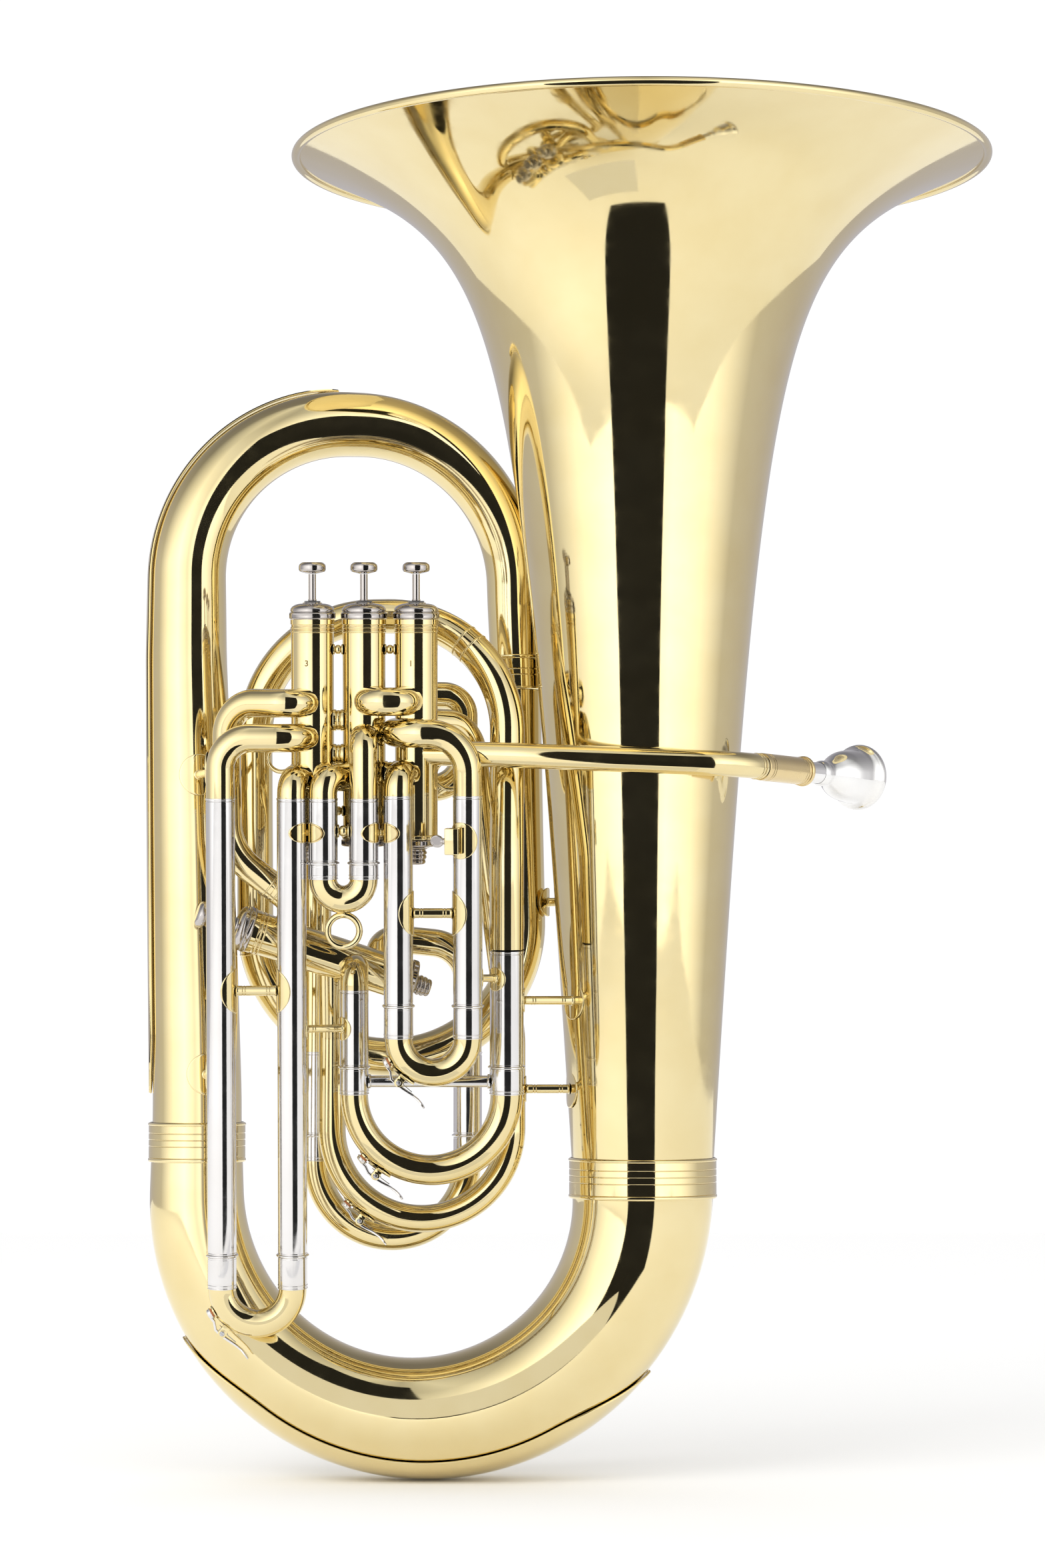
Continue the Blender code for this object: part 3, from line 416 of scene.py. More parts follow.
class Profile:
    """A lathe outline drawn step by step from its last point."""

    def __init__(self, height: float = 0.0, radius: float = 0.0) -> None:
        """Start the outline at a height and a radius."""
        self.points: list[tuple[float, float]] = [(height, radius)]

    def to(self, height: float, radius: float) -> "Profile":
        """Draw a line to a height and a radius."""
        self.points.append((height, radius))
        return self

    def up(self, length: float) -> "Profile":
        """Draw a line along the axis."""
        height, radius = self.points[-1]
        return self.to(height + length, radius)

    def step(self, rise: float) -> "Profile":
        """Draw a line straight out from the axis, or in for a negative rise."""
        height, radius = self.points[-1]
        return self.to(height, radius + rise)

    def bead(self, width: float, rise: float, steps: int = 6) -> "Profile":
        """Draw a half-round bead, or a hollow for a negative rise.

        Args:
            width: Its length along the axis.
            rise: Its height.
            steps: Chords around it.

        Returns:
            The outline.
        """
        height, radius = self.points[-1]
        for index in range(1, steps + 1):
            angle = pi * index / steps
            self.to(height + width * (1 - cos(angle)) / 2, radius + rise * sin(angle))
        return self

    def groove(self, width: float = 0.7, depth: float = 0.32) -> "Profile":
        """Cut an engraved line around the piece."""
        return self.bead(width, -depth, 4)

    def curve(self, height: float, radius: float, axial: bool, steps: int) -> "Profile":
        """Draw a quarter round.

        Args:
            height: Height of its end.
            radius: Radius of its end.
            axial: Whether it sets off along the axis.
            steps: Chords around it.

        Returns:
            The outline.
        """
        low, start = self.points[-1]
        for index in range(1, steps + 1):
            angle = pi / 2 * index / steps
            fast, slow = sin(angle), 1 - cos(angle)
            along, out = (fast, slow) if axial else (slow, fast)
            self.to(low + (height - low) * along, start + (radius - start) * out)
        return self

    def over(self, height: float, radius: float, steps: int = 5) -> "Profile":
        """Draw a quarter round that sets off along the axis."""
        return self.curve(height, radius, True, steps)

    def out(self, height: float, radius: float, steps: int = 5) -> "Profile":
        """Draw a quarter round that sets off across the axis."""
        return self.curve(height, radius, False, steps)


def smooth(points: Points, steps: int = 5) -> list[tuple[float, float]]:
    """Draw a flowing outline through a few points.

    Args:
        points: The (height, radius) points that it passes.
        steps: Chords between two of them.

    Returns:
        The points of the outline.
    """
    rows = [Vector(point) for point in points]
    ends = [rows[0] * 2 - rows[1], *rows, rows[-1] * 2 - rows[-2]]
    flowing = [tuple(rows[0])]
    for before, start, stop, after in zip(ends, ends[1:], ends[2:], ends[3:]):
        for index in range(1, steps + 1):
            t = index / steps
            bend = (stop - before) * t
            bend += (before * 2 - start * 5 + stop * 4 - after) * t**2
            bend += (start * 3 - before - stop * 3 + after) * t**3
            flowing.append(tuple(start + bend / 2))
    return flowing


@dataclass(frozen=True)
class Collar:
    """A raised or cut detail on a tube, as rises over its plain radius."""

    start: float
    rises: tuple[tuple[float, float], ...]

    @property
    def stop(self) -> float:
        """The length at its far end."""
        return self.start + self.rises[-1][0]

    def rows(self) -> list[tuple[float, float]]:
        """Give the (length, rise) rows of the detail."""
        return [(self.start + along, rise) for along, rise in self.rises]


def collar(start: float, outline: Profile) -> Collar:
    """Place an outline, drawn from height 0 and radius 0, on a tube."""
    return Collar(start, tuple(outline.points))


@dataclass(frozen=True)
class Casing:
    """A round casing that a tube's end is fitted to."""

    frame: Matrix
    radius: float = 13.6

    def fit(self, loop: Sequence[BMVert], towards: Vector) -> None:
        """Move a loop of corners back along a direction onto the casing.

        Args:
            loop: The corners, which start inside the casing or short of it.
            towards: The direction in which the tube enters.
        """
        inverse = self.frame.inverted()
        flow = inverse.to_3x3() @ towards
        for vert in loop:
            local = inverse @ vert.co
            a = flow.xy.length_squared
            b = local.xy.dot(flow.xy)
            c = local.xy.length_squared - self.radius**2
            inside = b * b - a * c
            if inside > 0.0:
                shift = min(0.0, (-b - sqrt(inside)) / a)
                vert.co = vert.co + towards * shift


@dataclass
class Tube:
    """A hollow tube along a route."""

    route: Route
    radius: Radius | float
    wall: float = 0.6
    sides: int = 48
    first: float = 0.0
    last: float | None = None
    collars: Sequence[Collar] = ()
    start_on: Casing | None = None
    end_on: Casing | None = None
    step: float = radians(5)
    spacing: float = 40.0

    def size(self, along: float) -> float:
        """Give the plain outer radius at a length."""
        return self.radius(along) if callable(self.radius) else self.radius

    def shape(self) -> BMesh:
        """Skin the tube outside and inside, and fit its ends to their casings."""
        last = self.route.length if self.last is None else self.last
        marks = self.route.marks(self.first, last, self.step, self.spacing)
        rows: list[tuple[float, float]] = []
        pending = sorted(self.collars, key=lambda item: item.start)
        for along in marks:
            while pending and pending[0].start <= along + 0.001:
                rows += pending.pop(0).rows()
            covered = any(item.start - 0.01 <= along <= item.stop + 0.01 for item in self.collars)
            if not covered:
                rows.append((along, 0.0))
        for item in self.collars:
            for along in (item.start - 0.7, item.stop + 0.7):
                if self.first + 0.1 < along < last - 0.1:
                    rows.append((along, 0.0))
        rows.sort(key=lambda row: row[0])
        outer = [(along, self.size(along) + rise) for along, rise in rows]
        inner = [(along, self.size(along) - self.wall) for along in reversed(marks)]
        rings = [(self.route.frame(along), (size, size)) for along, size in outer + inner]
        swept = sweep(rings, self.sides, closed=True)
        if self.start_on:
            into = -self.route.heading(self.first)
            self.start_on.fit(swept.loops[0] + swept.loops[-1], into)
        if self.end_on:
            into = self.route.heading(last)
            ends = swept.loops[len(outer) - 1] + swept.loops[len(outer)]
            self.end_on.fit(ends, into)
        return swept.shape


def wire(
    points: Sequence[Vector], radius: float, guide: Vector, sides: int = 12, closed: bool = False,
) -> BMesh:
    """Draw a round wire through points.

    Args:
        points: The points in order.
        radius: Radius of the wire.
        guide: A direction that is never along the wire.
        sides: Corners around.
        closed: Whether the wire is a hoop.

    Returns:
        The wire's shape.
    """
    count = len(points)
    rings: list[Ring] = []
    for index, point in enumerate(points):
        ahead = points[(index + 1) % count] if closed else points[min(index + 1, count - 1)]
        behind = points[index - 1] if closed else points[max(index - 1, 0)]
        rings.append((aimed(point, ahead - behind, guide), (radius, radius)))
    return sweep(rings, sides, closed).shape


def hoop(centre: Matrix, size: float, radius: float, steps: int = 48) -> BMesh:
    """Draw a round ring of wire.

    Args:
        centre: A frame whose Z is the ring's axis.
        size: Radius of the ring to the middle of the wire.
        radius: Radius of the wire.
        steps: Rings of corners around it.

    Returns:
        The ring's shape.
    """
    points = []
    for index in range(steps):
        angle = 2 * pi * index / steps
        points.append(centre @ Vector((size * cos(angle), size * sin(angle), 0.0)))
    return wire(points, radius, centre.col[2].xyz, closed=True)


def block(place: Matrix, sizes: Sequence[float], edge: float) -> BMesh:
    """Make a block with rounded edges.

    Args:
        place: The frame at its middle.
        sizes: Its three sides.
        edge: Radius of its edges.

    Returns:
        The block's shape.
    """
    shape = bmesh.new()
    grow = Matrix.Diagonal((*sizes, 1.0))
    bmesh.ops.create_cube(shape, size=1.0, matrix=grow)
    bmesh.ops.bevel(
        shape, geom=shape.edges[:], affect="EDGES", offset=edge, offset_type="OFFSET", segments=3,
        profile=0.5, material=-1,
    )
    bmesh.ops.transform(shape, matrix=place, verts=shape.verts[:])
    return shape


def linked(name: str, data: bpy.types.ID) -> Thing:
    """Put a new object with its data into the scene."""
    thing = bpy.data.objects.new(name, data)
    bpy.context.scene.collection.objects.link(thing)
    return thing


def poured(name: str, shape: BMesh) -> bpy.types.Mesh:
    """Turn a shape into a mesh, and free it."""
    mesh = bpy.data.meshes.new(name)
    shape.to_mesh(mesh)
    shape.free()
    return mesh


def joined(shapes: Sequence[BMesh]) -> BMesh:
    """Put several shapes into one, and free them."""
    whole = bmesh.new()
    for shape in shapes:
        carrier = poured("carrier", shape)
        whole.from_mesh(carrier)
        bpy.data.meshes.remove(carrier)
    return whole


def carved(shape: BMesh, tools: Sequence[BMesh]) -> BMesh:
    """Cut tools out of a shape.

    Args:
        shape: The shape, which is freed.
        tools: The tools, which are freed.

    Returns:
        The new shape.
    """
    things = []
    for index, part in enumerate([shape, *tools]):
        bmesh.ops.recalc_face_normals(part, faces=part.faces[:])
        things.append(linked(f"bench_{index}", poured(f"bench_{index}", part)))
    for tool in things[1:]:
        cut = things[0].modifiers.new(tool.name, "BOOLEAN")
        cut.operation = "DIFFERENCE"
        cut.solver = "EXACT"
        cut.object = tool
    result = bmesh.new()
    result.from_object(things[0], bpy.context.evaluated_depsgraph_get())
    for thing in things:
        mesh = thing.data
        bpy.data.objects.remove(thing, do_unlink=True)
        bpy.data.meshes.remove(mesh)
    return result


def wrapped(shape: BMesh, place: Matrix, radius: float) -> BMesh:
    """Bend a flat shape round a cylinder.

    Args:
        shape: A shape on the XY plane, with Z as its height over the cylinder.
        place: A frame on the cylinder's axis: X along it, Z out to the shape's middle.
        radius: Radius of the cylinder.

    Returns:
        The bent shape.
    """
    for vert in shape.verts:
        x, y, z = vert.co
        around = y / radius
        out = radius + z
        vert.co = place @ Vector((x, out * sin(around), out * cos(around)))
    return shape


def on_tube(point: Vector, along: Vector, towards: Vector) -> Matrix:
    """Give the frame that wrapped() needs on a tube.

    Args:
        point: A point on the tube's axis.
        along: The direction of the axis.
        towards: Roughly where the wrapped shape faces.

    Returns:
        The frame.
    """
    axis = along.normalized()
    out = (towards - axis * towards.dot(axis)).normalized()
    turn = Matrix((axis, out.cross(axis), out)).transposed()
    return Matrix.Translation(point) @ turn.to_4x4()


def saddle(place: Matrix, tube: float, size: float, thick: float = 0.7, wide: float = 1.0) -> BMesh:
    """Make a round plate that hugs a tube.

    Args:
        place: The frame on the tube's axis, from on_tube().
        tube: Radius of the tube.
        size: Radius of the plate.
        thick: Thickness of the plate.
        wide: How many times wider it is around the tube than along it.

    Returns:
        The plate's shape.
    """
    outline = Profile(-0.15, size).to(thick * 0.5, size)
    outline.over(thick, size - thick, 3)
    for share in (0.9, 0.8, 0.7, 0.6, 0.5, 0.4, 0.3, 0.2, 0.1, 0.01):
        outline.to(thick, size * share)
    back = [(-0.15, size * share) for share in (0.01, 0.25, 0.5, 0.75)]
    disc = lathe(Matrix.Identity(4), outline.points + back, 72, closed=True)
    disc.transform(Matrix.Diagonal((1.0, wide, 1.0, 1.0)))
    return wrapped(disc, place, tube)


def strut(start: Vector, end: Vector, radius: float, foot: float = 1.4) -> BMesh:
    """Make a brace's rod with two pairs of engraved lines and flared feet.

    Args:
        start: One end.
        end: The other end.
        radius: Radius of the rod.
        foot: How far the feet flare.

    Returns:
        The rod's shape.
    """
    length = (end - start).length
    outline = Profile(0.0, radius + foot).out(1.6, radius)
    if length > 14.0:
        for share in (0.2, 0.8):
            outline.to(length * share - 1.3, radius).groove().up(1.2).groove()
    outline.to(length - 1.6, radius).over(length, radius + foot)
    return lathe(aimed(start, end - start, Vector((0.1, 0.3, 1.0))), outline.points, 32)


def baluster(start: Vector, end: Vector, radius: float) -> BMesh:
    """Make a short turned tie: two discs with a ball between thin necks.

    Args:
        start: One end.
        end: The other end.
        radius: Radius of its discs.

    Returns:
        The tie's shape.
    """
    length = (end - start).length
    disc = min(1.2, length * 0.2)
    ball = length - 2 * disc
    outline = Profile(0.0, radius).to(disc * 0.5, radius)
    outline.over(disc, radius * 0.45)
    outline.bead(ball, radius * 0.42, 10)
    outline.out(length - disc * 0.5, radius).to(length, radius)
    return lathe(aimed(start, end - start, UP), outline.points, 36)


def knurl(shape: BMesh, axis: Matrix, low: float, high: float, depth: float, sides: int) -> None:
    """Press grip lines into a turned band.

    Args:
        shape: The shape.
        axis: The frame that it was turned about.
        low: Height at the start of the band.
        high: Height at its end.
        depth: Depth of the lines.
        sides: Corners around the shape; every second one is pressed in.
    """
    inverse = axis.inverted()
    for vert in shape.verts:
        local = inverse @ vert.co
        radius = local.xy.length
        if low <= local.z <= high and radius > 0.5:
            number = round(atan2(local.y, local.x) / (2 * pi) * sides)
            if number % 2:
                scale = (radius - depth) / radius
                vert.co = axis @ Vector((local.x * scale, local.y * scale, local.z))


# Finishes


class Nodes:
    """A node tree under construction."""

    def __init__(self, tree: bpy.types.NodeTree) -> None:
        """Take the tree."""
        self.tree = tree

    def feed(self, target: Socket, source: object) -> None:
        """Connect a socket, or set it where the source is a plain value."""
        if isinstance(source, Socket):
            self.tree.links.new(source, target)
        else:
            target.default_value = source

    def node(self, kind: str, feeds: Feeds | None = None, **settings: object) -> bpy.types.Node:
        """Add a node.

        Args:
            kind: The node's type, without its first word.
            feeds: What goes into its sockets, by name or number.
            settings: Its properties.

        Returns:
            The node.
        """
        made = self.tree.nodes.new(f"ShaderNode{kind}")
        for name, value in settings.items():
            setattr(made, name, value)
        for socket, source in (feeds or {}).items():
            self.feed(made.inputs[socket], source)
        return made


class Shader(Nodes):
    """A material under construction, with short calls for the patterns in use."""

    def __init__(self, name: str) -> None:
        """Start a material and its object-space coordinates."""
        self.material = bpy.data.materials.new(name)
        self.material.use_nodes = True
        super().__init__(self.material.node_tree)
        self.surface = self.tree.nodes["Principled BSDF"]
        self.place = self.node("TexCoord").outputs["Object"]

    def dress(self, looks: Feeds) -> None:
        """Feed or set the surface's sockets."""
        for socket, source in looks.items():
            self.feed(self.surface.inputs[socket], source)

    def noise(self, scale: float, detail: float, stretch: Colour = (1.0, 1.0, 1.0)) -> Socket:
        """Add a cloudy pattern.

        Args:
            scale: Its frequency per metre.
            detail: Its octaves.
            stretch: Frequency factors along the axes.

        Returns:
            Its value.
        """
        spread = self.node("Mapping", {"Vector": self.place, "Scale": stretch}).outputs["Vector"]
        cloud = self.node("TexNoise", {"Vector": spread, "Scale": scale, "Detail": detail})
        return cloud.outputs["Fac"]

    def span(self, value: Socket, source: Pair, target: Pair = (0.0, 1.0)) -> Socket:
        """Map one range of a value to another, clamped.

        Args:
            value: The value.
            source: The range that it is read over.
            target: The range that comes out.

        Returns:
            The mapped value.
        """
        names = ("Value", "From Min", "From Max", "To Min", "To Max")
        feeds = dict(zip(names, (value, *source, *target)))
        return self.node("MapRange", feeds, clamp=True).outputs["Result"]

    def mix(self, share: object, first: object, second: object) -> Socket:
        """Blend two colours.

        Args:
            share: How much of the second.
            first: A colour or a socket.
            second: A colour or a socket.

        Returns:
            The blend.
        """
        ends = [(*end, 1.0) if isinstance(end, tuple) else end for end in (first, second)]
        feeds = {"Factor": share, "A": ends[0], "B": ends[1]}
        return self.node("Mix", feeds, data_type="RGBA").outputs["Result"]

    def bump(self, height: Socket, depth: float, strength: float, under: object = None) -> Socket:
        """Add a relief.

        Args:
            height: Its height map.
            depth: Its depth in metres.
            strength: Its strength.
            under: A relief that it lies on.

        Returns:
            The normal.
        """
        feeds = {"Height": height, "Distance": depth, "Strength": strength}
        if under is not None:
            feeds["Normal"] = under
        return self.node("Bump", feeds).outputs["Normal"]

    def creases(self) -> Socket:
        """Give 1 in grooves and inner corners and 0 elsewhere."""
        shape = self.node("NewGeometry").outputs["Pointiness"]
        return self.span(shape, CREASE_RANGE, (1.0, 0.0))


class Look:
    """A finish that paints one material and gives it to every piece."""

    name: str

    def material(self) -> bpy.types.Material:
        """Build the material, or give it if it exists."""
        found = bpy.data.materials.get(self.name)
        if found:
            return found
        sheet = Shader(self.name)
        sheet.dress(self.paint(sheet))
        return sheet.material


@dataclass(frozen=True)
class MetalLook(Look):
    """A polished metal: its colours, gloss, lacquer and polish marks."""

    name: str
    slot: str
    tint: Colour
    warm: Colour
    crease: Colour
    gloss: tuple[float, float]
    lacquer: float = 0.0
    ripple: float = 0.12
    grain: float = 0.03
    grain_stretch: Colour = (1.0, 1.0, 1.0)
    cloud_scale: float = 26.0
    grain_scale: float = 2600.0

    def paint(self, sheet: Shader) -> Feeds:
        """Give the surface's sockets what they need."""
        cloud = sheet.noise(self.cloud_scale, 4.0)
        toned = sheet.mix(sheet.span(cloud, (0.35, 0.68)), self.tint, self.warm)
        smear = sheet.noise(self.cloud_scale * 3.4, 7.0)
        slow = sheet.bump(sheet.noise(16.0, 1.0), 0.002, self.ripple)
        grain = sheet.noise(self.grain_scale, 2.0, self.grain_stretch)
        looks = {
            "Base Color": sheet.mix(sheet.creases(), toned, self.crease),
            "Metallic": 1.0,
            "Roughness": sheet.span(smear, (0.38, 0.7), self.gloss),
            "Normal": sheet.bump(grain, 0.00004, self.grain, slow),
        }
        if self.lacquer:
            looks |= {"Coat Weight": self.lacquer, "Coat Roughness": 0.03, "Coat IOR": 1.48}
        return looks


@dataclass(frozen=True)
class SoftLook(Look):
    """A matt filler such as cork, felt or the dark of an engraved line."""

    name: str
    slot: str
    pale: Colour
    dark: Colour
    rough: float
    pores: float
    depth: float
    fuzz: float = 0.0

    def paint(self, sheet: Shader) -> Feeds:
        """Give the surface's sockets what they need."""
        cells = sheet.node("TexVoronoi", {"Vector": sheet.place, "Scale": self.pores})
        pits = cells.outputs["Distance"]
        grain = sheet.noise(self.pores * 1.7, 5.0)
        toned = sheet.mix(sheet.span(grain, (0.35, 0.65)), self.dark, self.pale)
        gloss = (self.rough - 0.1, self.rough + 0.05)
        relief = sheet.bump(pits, self.depth, 0.5)
        looks = {
            "Base Color": sheet.mix(sheet.span(pits, (0.1, 0.75)), toned, self.pale),
            "Roughness": sheet.span(grain, (0.3, 0.7), gloss),
            "Normal": sheet.bump(grain, self.depth * 0.5, 0.4, relief),
        }
        if self.fuzz:
            looks["Sheen Weight"] = self.fuzz
        return looks


class Finish(Enum):
    """The finishes of the tuba."""

    BRASS = MetalLook(
        "lacquered_yellow_brass", "lacquered_brass", (0.84, 0.71, 0.395), (0.81, 0.67, 0.35),
        (0.42, 0.26, 0.08), gloss=(0.035, 0.085), lacquer=0.5,
    )
    SATIN_BRASS = MetalLook(
        "brushed_receiver_brass", "lacquered_brass", (0.80, 0.64, 0.35), (0.76, 0.59, 0.30),
        (0.40, 0.25, 0.08), gloss=(0.20, 0.32), lacquer=0.35, grain=0.35,
        grain_stretch=(0.1, 0.1, 1.0),
    )
    NICKEL_SILVER = MetalLook(
        "polished_nickel_silver", "nickel_silver", (0.80, 0.785, 0.78), (0.77, 0.75, 0.735),
        (0.30, 0.27, 0.25), gloss=(0.045, 0.12), lacquer=0.25, ripple=0.06, grain=0.05,
        grain_stretch=(1.0, 1.0, 0.12),
    )
    NICKEL_PLATE = MetalLook(
        "valve_nickel_plate", "nickel_plate", (0.56, 0.525, 0.505), (0.50, 0.465, 0.445),
        (0.16, 0.14, 0.13), gloss=(0.06, 0.14), ripple=0.05, grain=0.06,
    )
    SILVER_PLATE = MetalLook(
        "mouthpiece_silver_plate", "silver_plate", (0.91, 0.905, 0.90), (0.88, 0.87, 0.85),
        (0.40, 0.38, 0.36), gloss=(0.03, 0.08), ripple=0.04,
    )
    SPRING_STEEL = MetalLook(
        "blued_spring_steel", "spring_steel", (0.56, 0.56, 0.58), (0.50, 0.49, 0.50),
        (0.12, 0.11, 0.11), gloss=(0.18, 0.34), grain=0.2,
    )
    CORK = SoftLook(
        "red_key_cork", "spring_steel", (0.62, 0.20, 0.09), (0.36, 0.10, 0.05), rough=0.82,
        pores=1500.0, depth=0.0002,
    )
    FELT = SoftLook(
        "dark_cap_felt", "spring_steel", (0.09, 0.085, 0.085), (0.03, 0.03, 0.032), rough=0.9,
        pores=3800.0, depth=0.0002, fuzz=0.6,
    )
    ENGRAVING = SoftLook(
        "engraved_line_dark", "lacquered_brass", (0.24, 0.16, 0.06), (0.12, 0.08, 0.03), rough=0.6,
        pores=5000.0, depth=0.00002,
    )


class Body(Enum):
    """The bodies that pieces ride on, apart from the slides and their keys."""

    TUBA = "tuba_body"
    MOUTHPIECE = "mouthpiece_body"
    LYRE_SCREW = "lyre_screw_body"


def make_piece(
    name: str, shape: BMesh, stands_for: str = "", finish: Finish = Finish.BRASS,
    body: str = Body.TUBA.value,
) -> Thing:
    """Turn a shape into a finished piece that rides on a body.

    Args:
        name: The piece's name.
        shape: Its shape in millimetres, which is freed.
        stands_for: The CAD node that it replaces.
        finish: What it is made of.
        body: The body that it moves with.

    Returns:
        The piece.
    """
    bmesh.ops.recalc_face_normals(shape, faces=shape.faces[:])
    shape.transform(Matrix.Scale(MM, 4))
    mesh = poured(name, shape)
    mesh.shade_smooth()
    mesh.set_sharp_from_angle(angle=CRISP)
    mesh.materials.append(finish.value.material())
    piece = linked(name, mesh)
    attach(piece, body)
    if stands_for:
        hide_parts(stands_for)
    LOG.info("%s on %s: %d faces, %s", name, body, len(mesh.polygons), finish.value.name)
    return piece


def ferrule(axis: Matrix, low: float, high: float, bore: float, lines: int) -> BMesh:
    """Turn a joint ferrule: a rolled foot, engraved lines and a small top bead.

    Args:
        axis: The frame whose Z it lies along.
        low: Height of its foot.
        high: Height of its top.
        bore: Its inner radius.
        lines: How many engraved lines it has.

    Returns:
        The ferrule's shape.
    """
    wall = 1.1
    foot = 2.8
    bead = 1.7
    outline = Profile(low, bore + 0.2).to(low, bore + wall - 0.3)
    outline.bead(foot, 0.75, 8).to(low + foot + 0.2, bore + wall)
    pitch = (high - low) * 0.13
    outline.up((high - low - foot) * 0.3)
    for _ in range(lines):
        outline.groove(0.9, 0.4).up(pitch)
    outline.to(high - bead - 0.5, bore + wall).bead(bead, 0.5, 8)
    outline.to(high - 0.2, bore + wall - 0.3).to(high, bore + 0.4).to(high, bore).to(low, bore)
    return lathe(axis, outline.points, 144, closed=True)


# Bell and bows


@dataclass
class Bell:
    """The spun bell with its rolled rim and the ferrule at its throat."""

    axis_x: float = 152.0
    bottom: float = 204.5
    rim: float = 905.0
    rim_radius: float = 238.0
    throat: float = 47.4
    cone: float = 0.060
    slow_flare: tuple[float, float] = (63.9, 130.0)
    fast_length: float = 36.0
    wall: float = 0.9
    bead: float = 3.1
    ferrule_ends: tuple[float, float] = (190.7, 218.1)

    @property
    def axis(self) -> Matrix:
        """The bell's axis."""
        return Matrix.Translation((self.axis_x, 0.0, 0.0))

    def radius(self, height: float) -> float:
        """Give the outer radius at a height: a cone and two exponential flares."""
        below = height - self.rim
        cone = self.throat + self.cone * (height - self.bottom)
        rise, length = self.slow_flare
        full = self.throat + self.cone * (self.rim - self.bottom) + rise
        return cone + rise * exp(below / length) + (self.rim_radius - full) * exp(
            below / self.fast_length
        )

    def roll(self) -> list[tuple[float, float]]:
        """Draw the rolled rim from its underside over the top to the inside."""
        height, radius = self.rim + 0.1, self.rim_radius + 0.3
        points = []
        for index in range(25):
            angle = radians(-150 + 340 * index / 24)
            points.append((height + self.bead * sin(angle), radius + self.bead * cos(angle)))
        return points

    def build(self) -> None:
        """Make the bell and its ferrule."""
        steps = 96
        top = self.rim - 0.85
        heights = []
        for index in range(steps):
            share = index / (steps - 1)
            heights.append(self.bottom + (top - self.bottom) * (1 - (1 - share) ** 2.2))
        outer = [(height, self.radius(height)) for height in heights]
        inner = [(height, self.radius(height) - self.wall) for height in reversed(heights)]
        shape = lathe(self.axis, outer + self.roll() + inner[1:], 224, closed=True)
        make_piece("bell_spun", shape, "bell")
        low, high = self.ferrule_ends
        bore = self.radius(high) + 2 * GAP
        ring = ferrule(self.axis, low, high, bore, 3)
        make_piece("bell_ferrule_turned", ring, "bell_ferrule")


@dataclass
class Guard:
    """A thin plate with a wire edge and pointed ends that hugs the outside of a bow."""

    route: Route
    radius: Radius
    first: float
    last: float
    half_angle: float
    taper: float
    tip: float = 0.1
    clearance: float = 1.1
    thickness: float = 0.8
    edge: float = 0.7

    def half(self, along: float) -> float:
        """Give the plate's half angle at a length, with a drawn-out point at each end."""
        reach = min(1.0, max(0.0, min(along - self.first, self.last - along) / self.taper))
        swell = sin(reach * pi / 2) ** 0.8
        return self.half_angle * (self.tip + (1 - self.tip) * swell)

    def place(self, along: float, angle: float, lift: float) -> Vector:
        """Give a point over the bow: along it, around it and over the clearance."""
        out = self.radius(along) + self.clearance + lift
        return self.route.frame(along) @ Vector((-out * cos(angle), -out * sin(angle), 0.0))

    def plate(self) -> BMesh:
        """Make the plate."""
        shape = bmesh.new()
        bmesh.ops.create_grid(shape, x_segments=160, y_segments=24, size=1.0)
        for vert in shape.verts:
            along = self.first + (self.last - self.first) * (vert.co.x + 1) / 2
            vert.co = self.place(along, vert.co.y * self.half(along), self.thickness)
        bmesh.ops.recalc_face_normals(shape, faces=shape.faces[:])
        bmesh.ops.solidify(shape, geom=shape.faces[:], thickness=self.thickness)
        return shape

    def rim(self) -> BMesh:
        """Make the wire around the plate's edge."""
        steps = 130
        points = []
        for side in (1, -1):
            for index in range(steps):
                share = index / (steps - 1)
                share = share if side == 1 else 1 - share
                along = self.first + (self.last - self.first) * share
                points.append(self.place(along, side * self.half(along), self.thickness / 2))
        return wire(points, self.edge, -FRONT, 10, closed=True)

    def build(self, name: str, node: str) -> None:
        """Make the plate under a name, in place of a CAD node, and its wire edge."""
        make_piece(name, self.plate(), node)
        make_piece(f"{name}_edge", self.rim())


@dataclass
class BottomBow:
    """The large bow under the instrument, with its guard and its small ferrule."""

    reach: float = 152.0
    centre: float = 194.5
    small: float = 30.8
    large: float = 48.3
    wall: float = 1.0
    bell_bottom: float = 204.5
    left_ferrule: tuple[float, float] = (215.3, 242.2)
    route: Route = field(init=False)

    def __post_init__(self) -> None:
        """Lay the bow's route from its small end."""
        low = self.centre - self.reach
        self.route = Route(
            [
                (-self.reach, 0.0, self.left_ferrule[0] + 13.0), (-self.reach, 0.0, low),
                (self.reach, 0.0, low), (self.reach, 0.0, self.bell_bottom - GAP),
            ],
            [self.reach, self.reach - 0.01],
            RIGHT,
        )

    def radius(self, along: float) -> float:
        """Give the outer radius at a length."""
        return self.small + (self.large - self.small) * along / self.route.length

    def build(self) -> None:
        """Make the bow, its guard and the ferrule."""
        bow = Tube(self.route, self.radius, self.wall, 112, step=radians(2.5), spacing=12.0)
        make_piece("bottom_bow_drawn", bow.shape(), "bottom_bow")
        straight = self.left_ferrule[0] + 13.0 - self.centre
        quarter = self.reach * pi / 2
        guard = Guard(
            self.route, self.radius, straight + quarter * 0.35, straight + quarter * 1.58,
            radians(47), 60.0,
        )
        guard.build("bottom_guard_plate", "bottom_guard")
        low, high = self.left_ferrule
        axis = Matrix.Translation((-self.reach, 0.0, 0.0))
        ring = ferrule(axis, low, high, self.small + 1.0, 3)
        make_piece("left_ferrule_turned", ring, "left_ferrule")


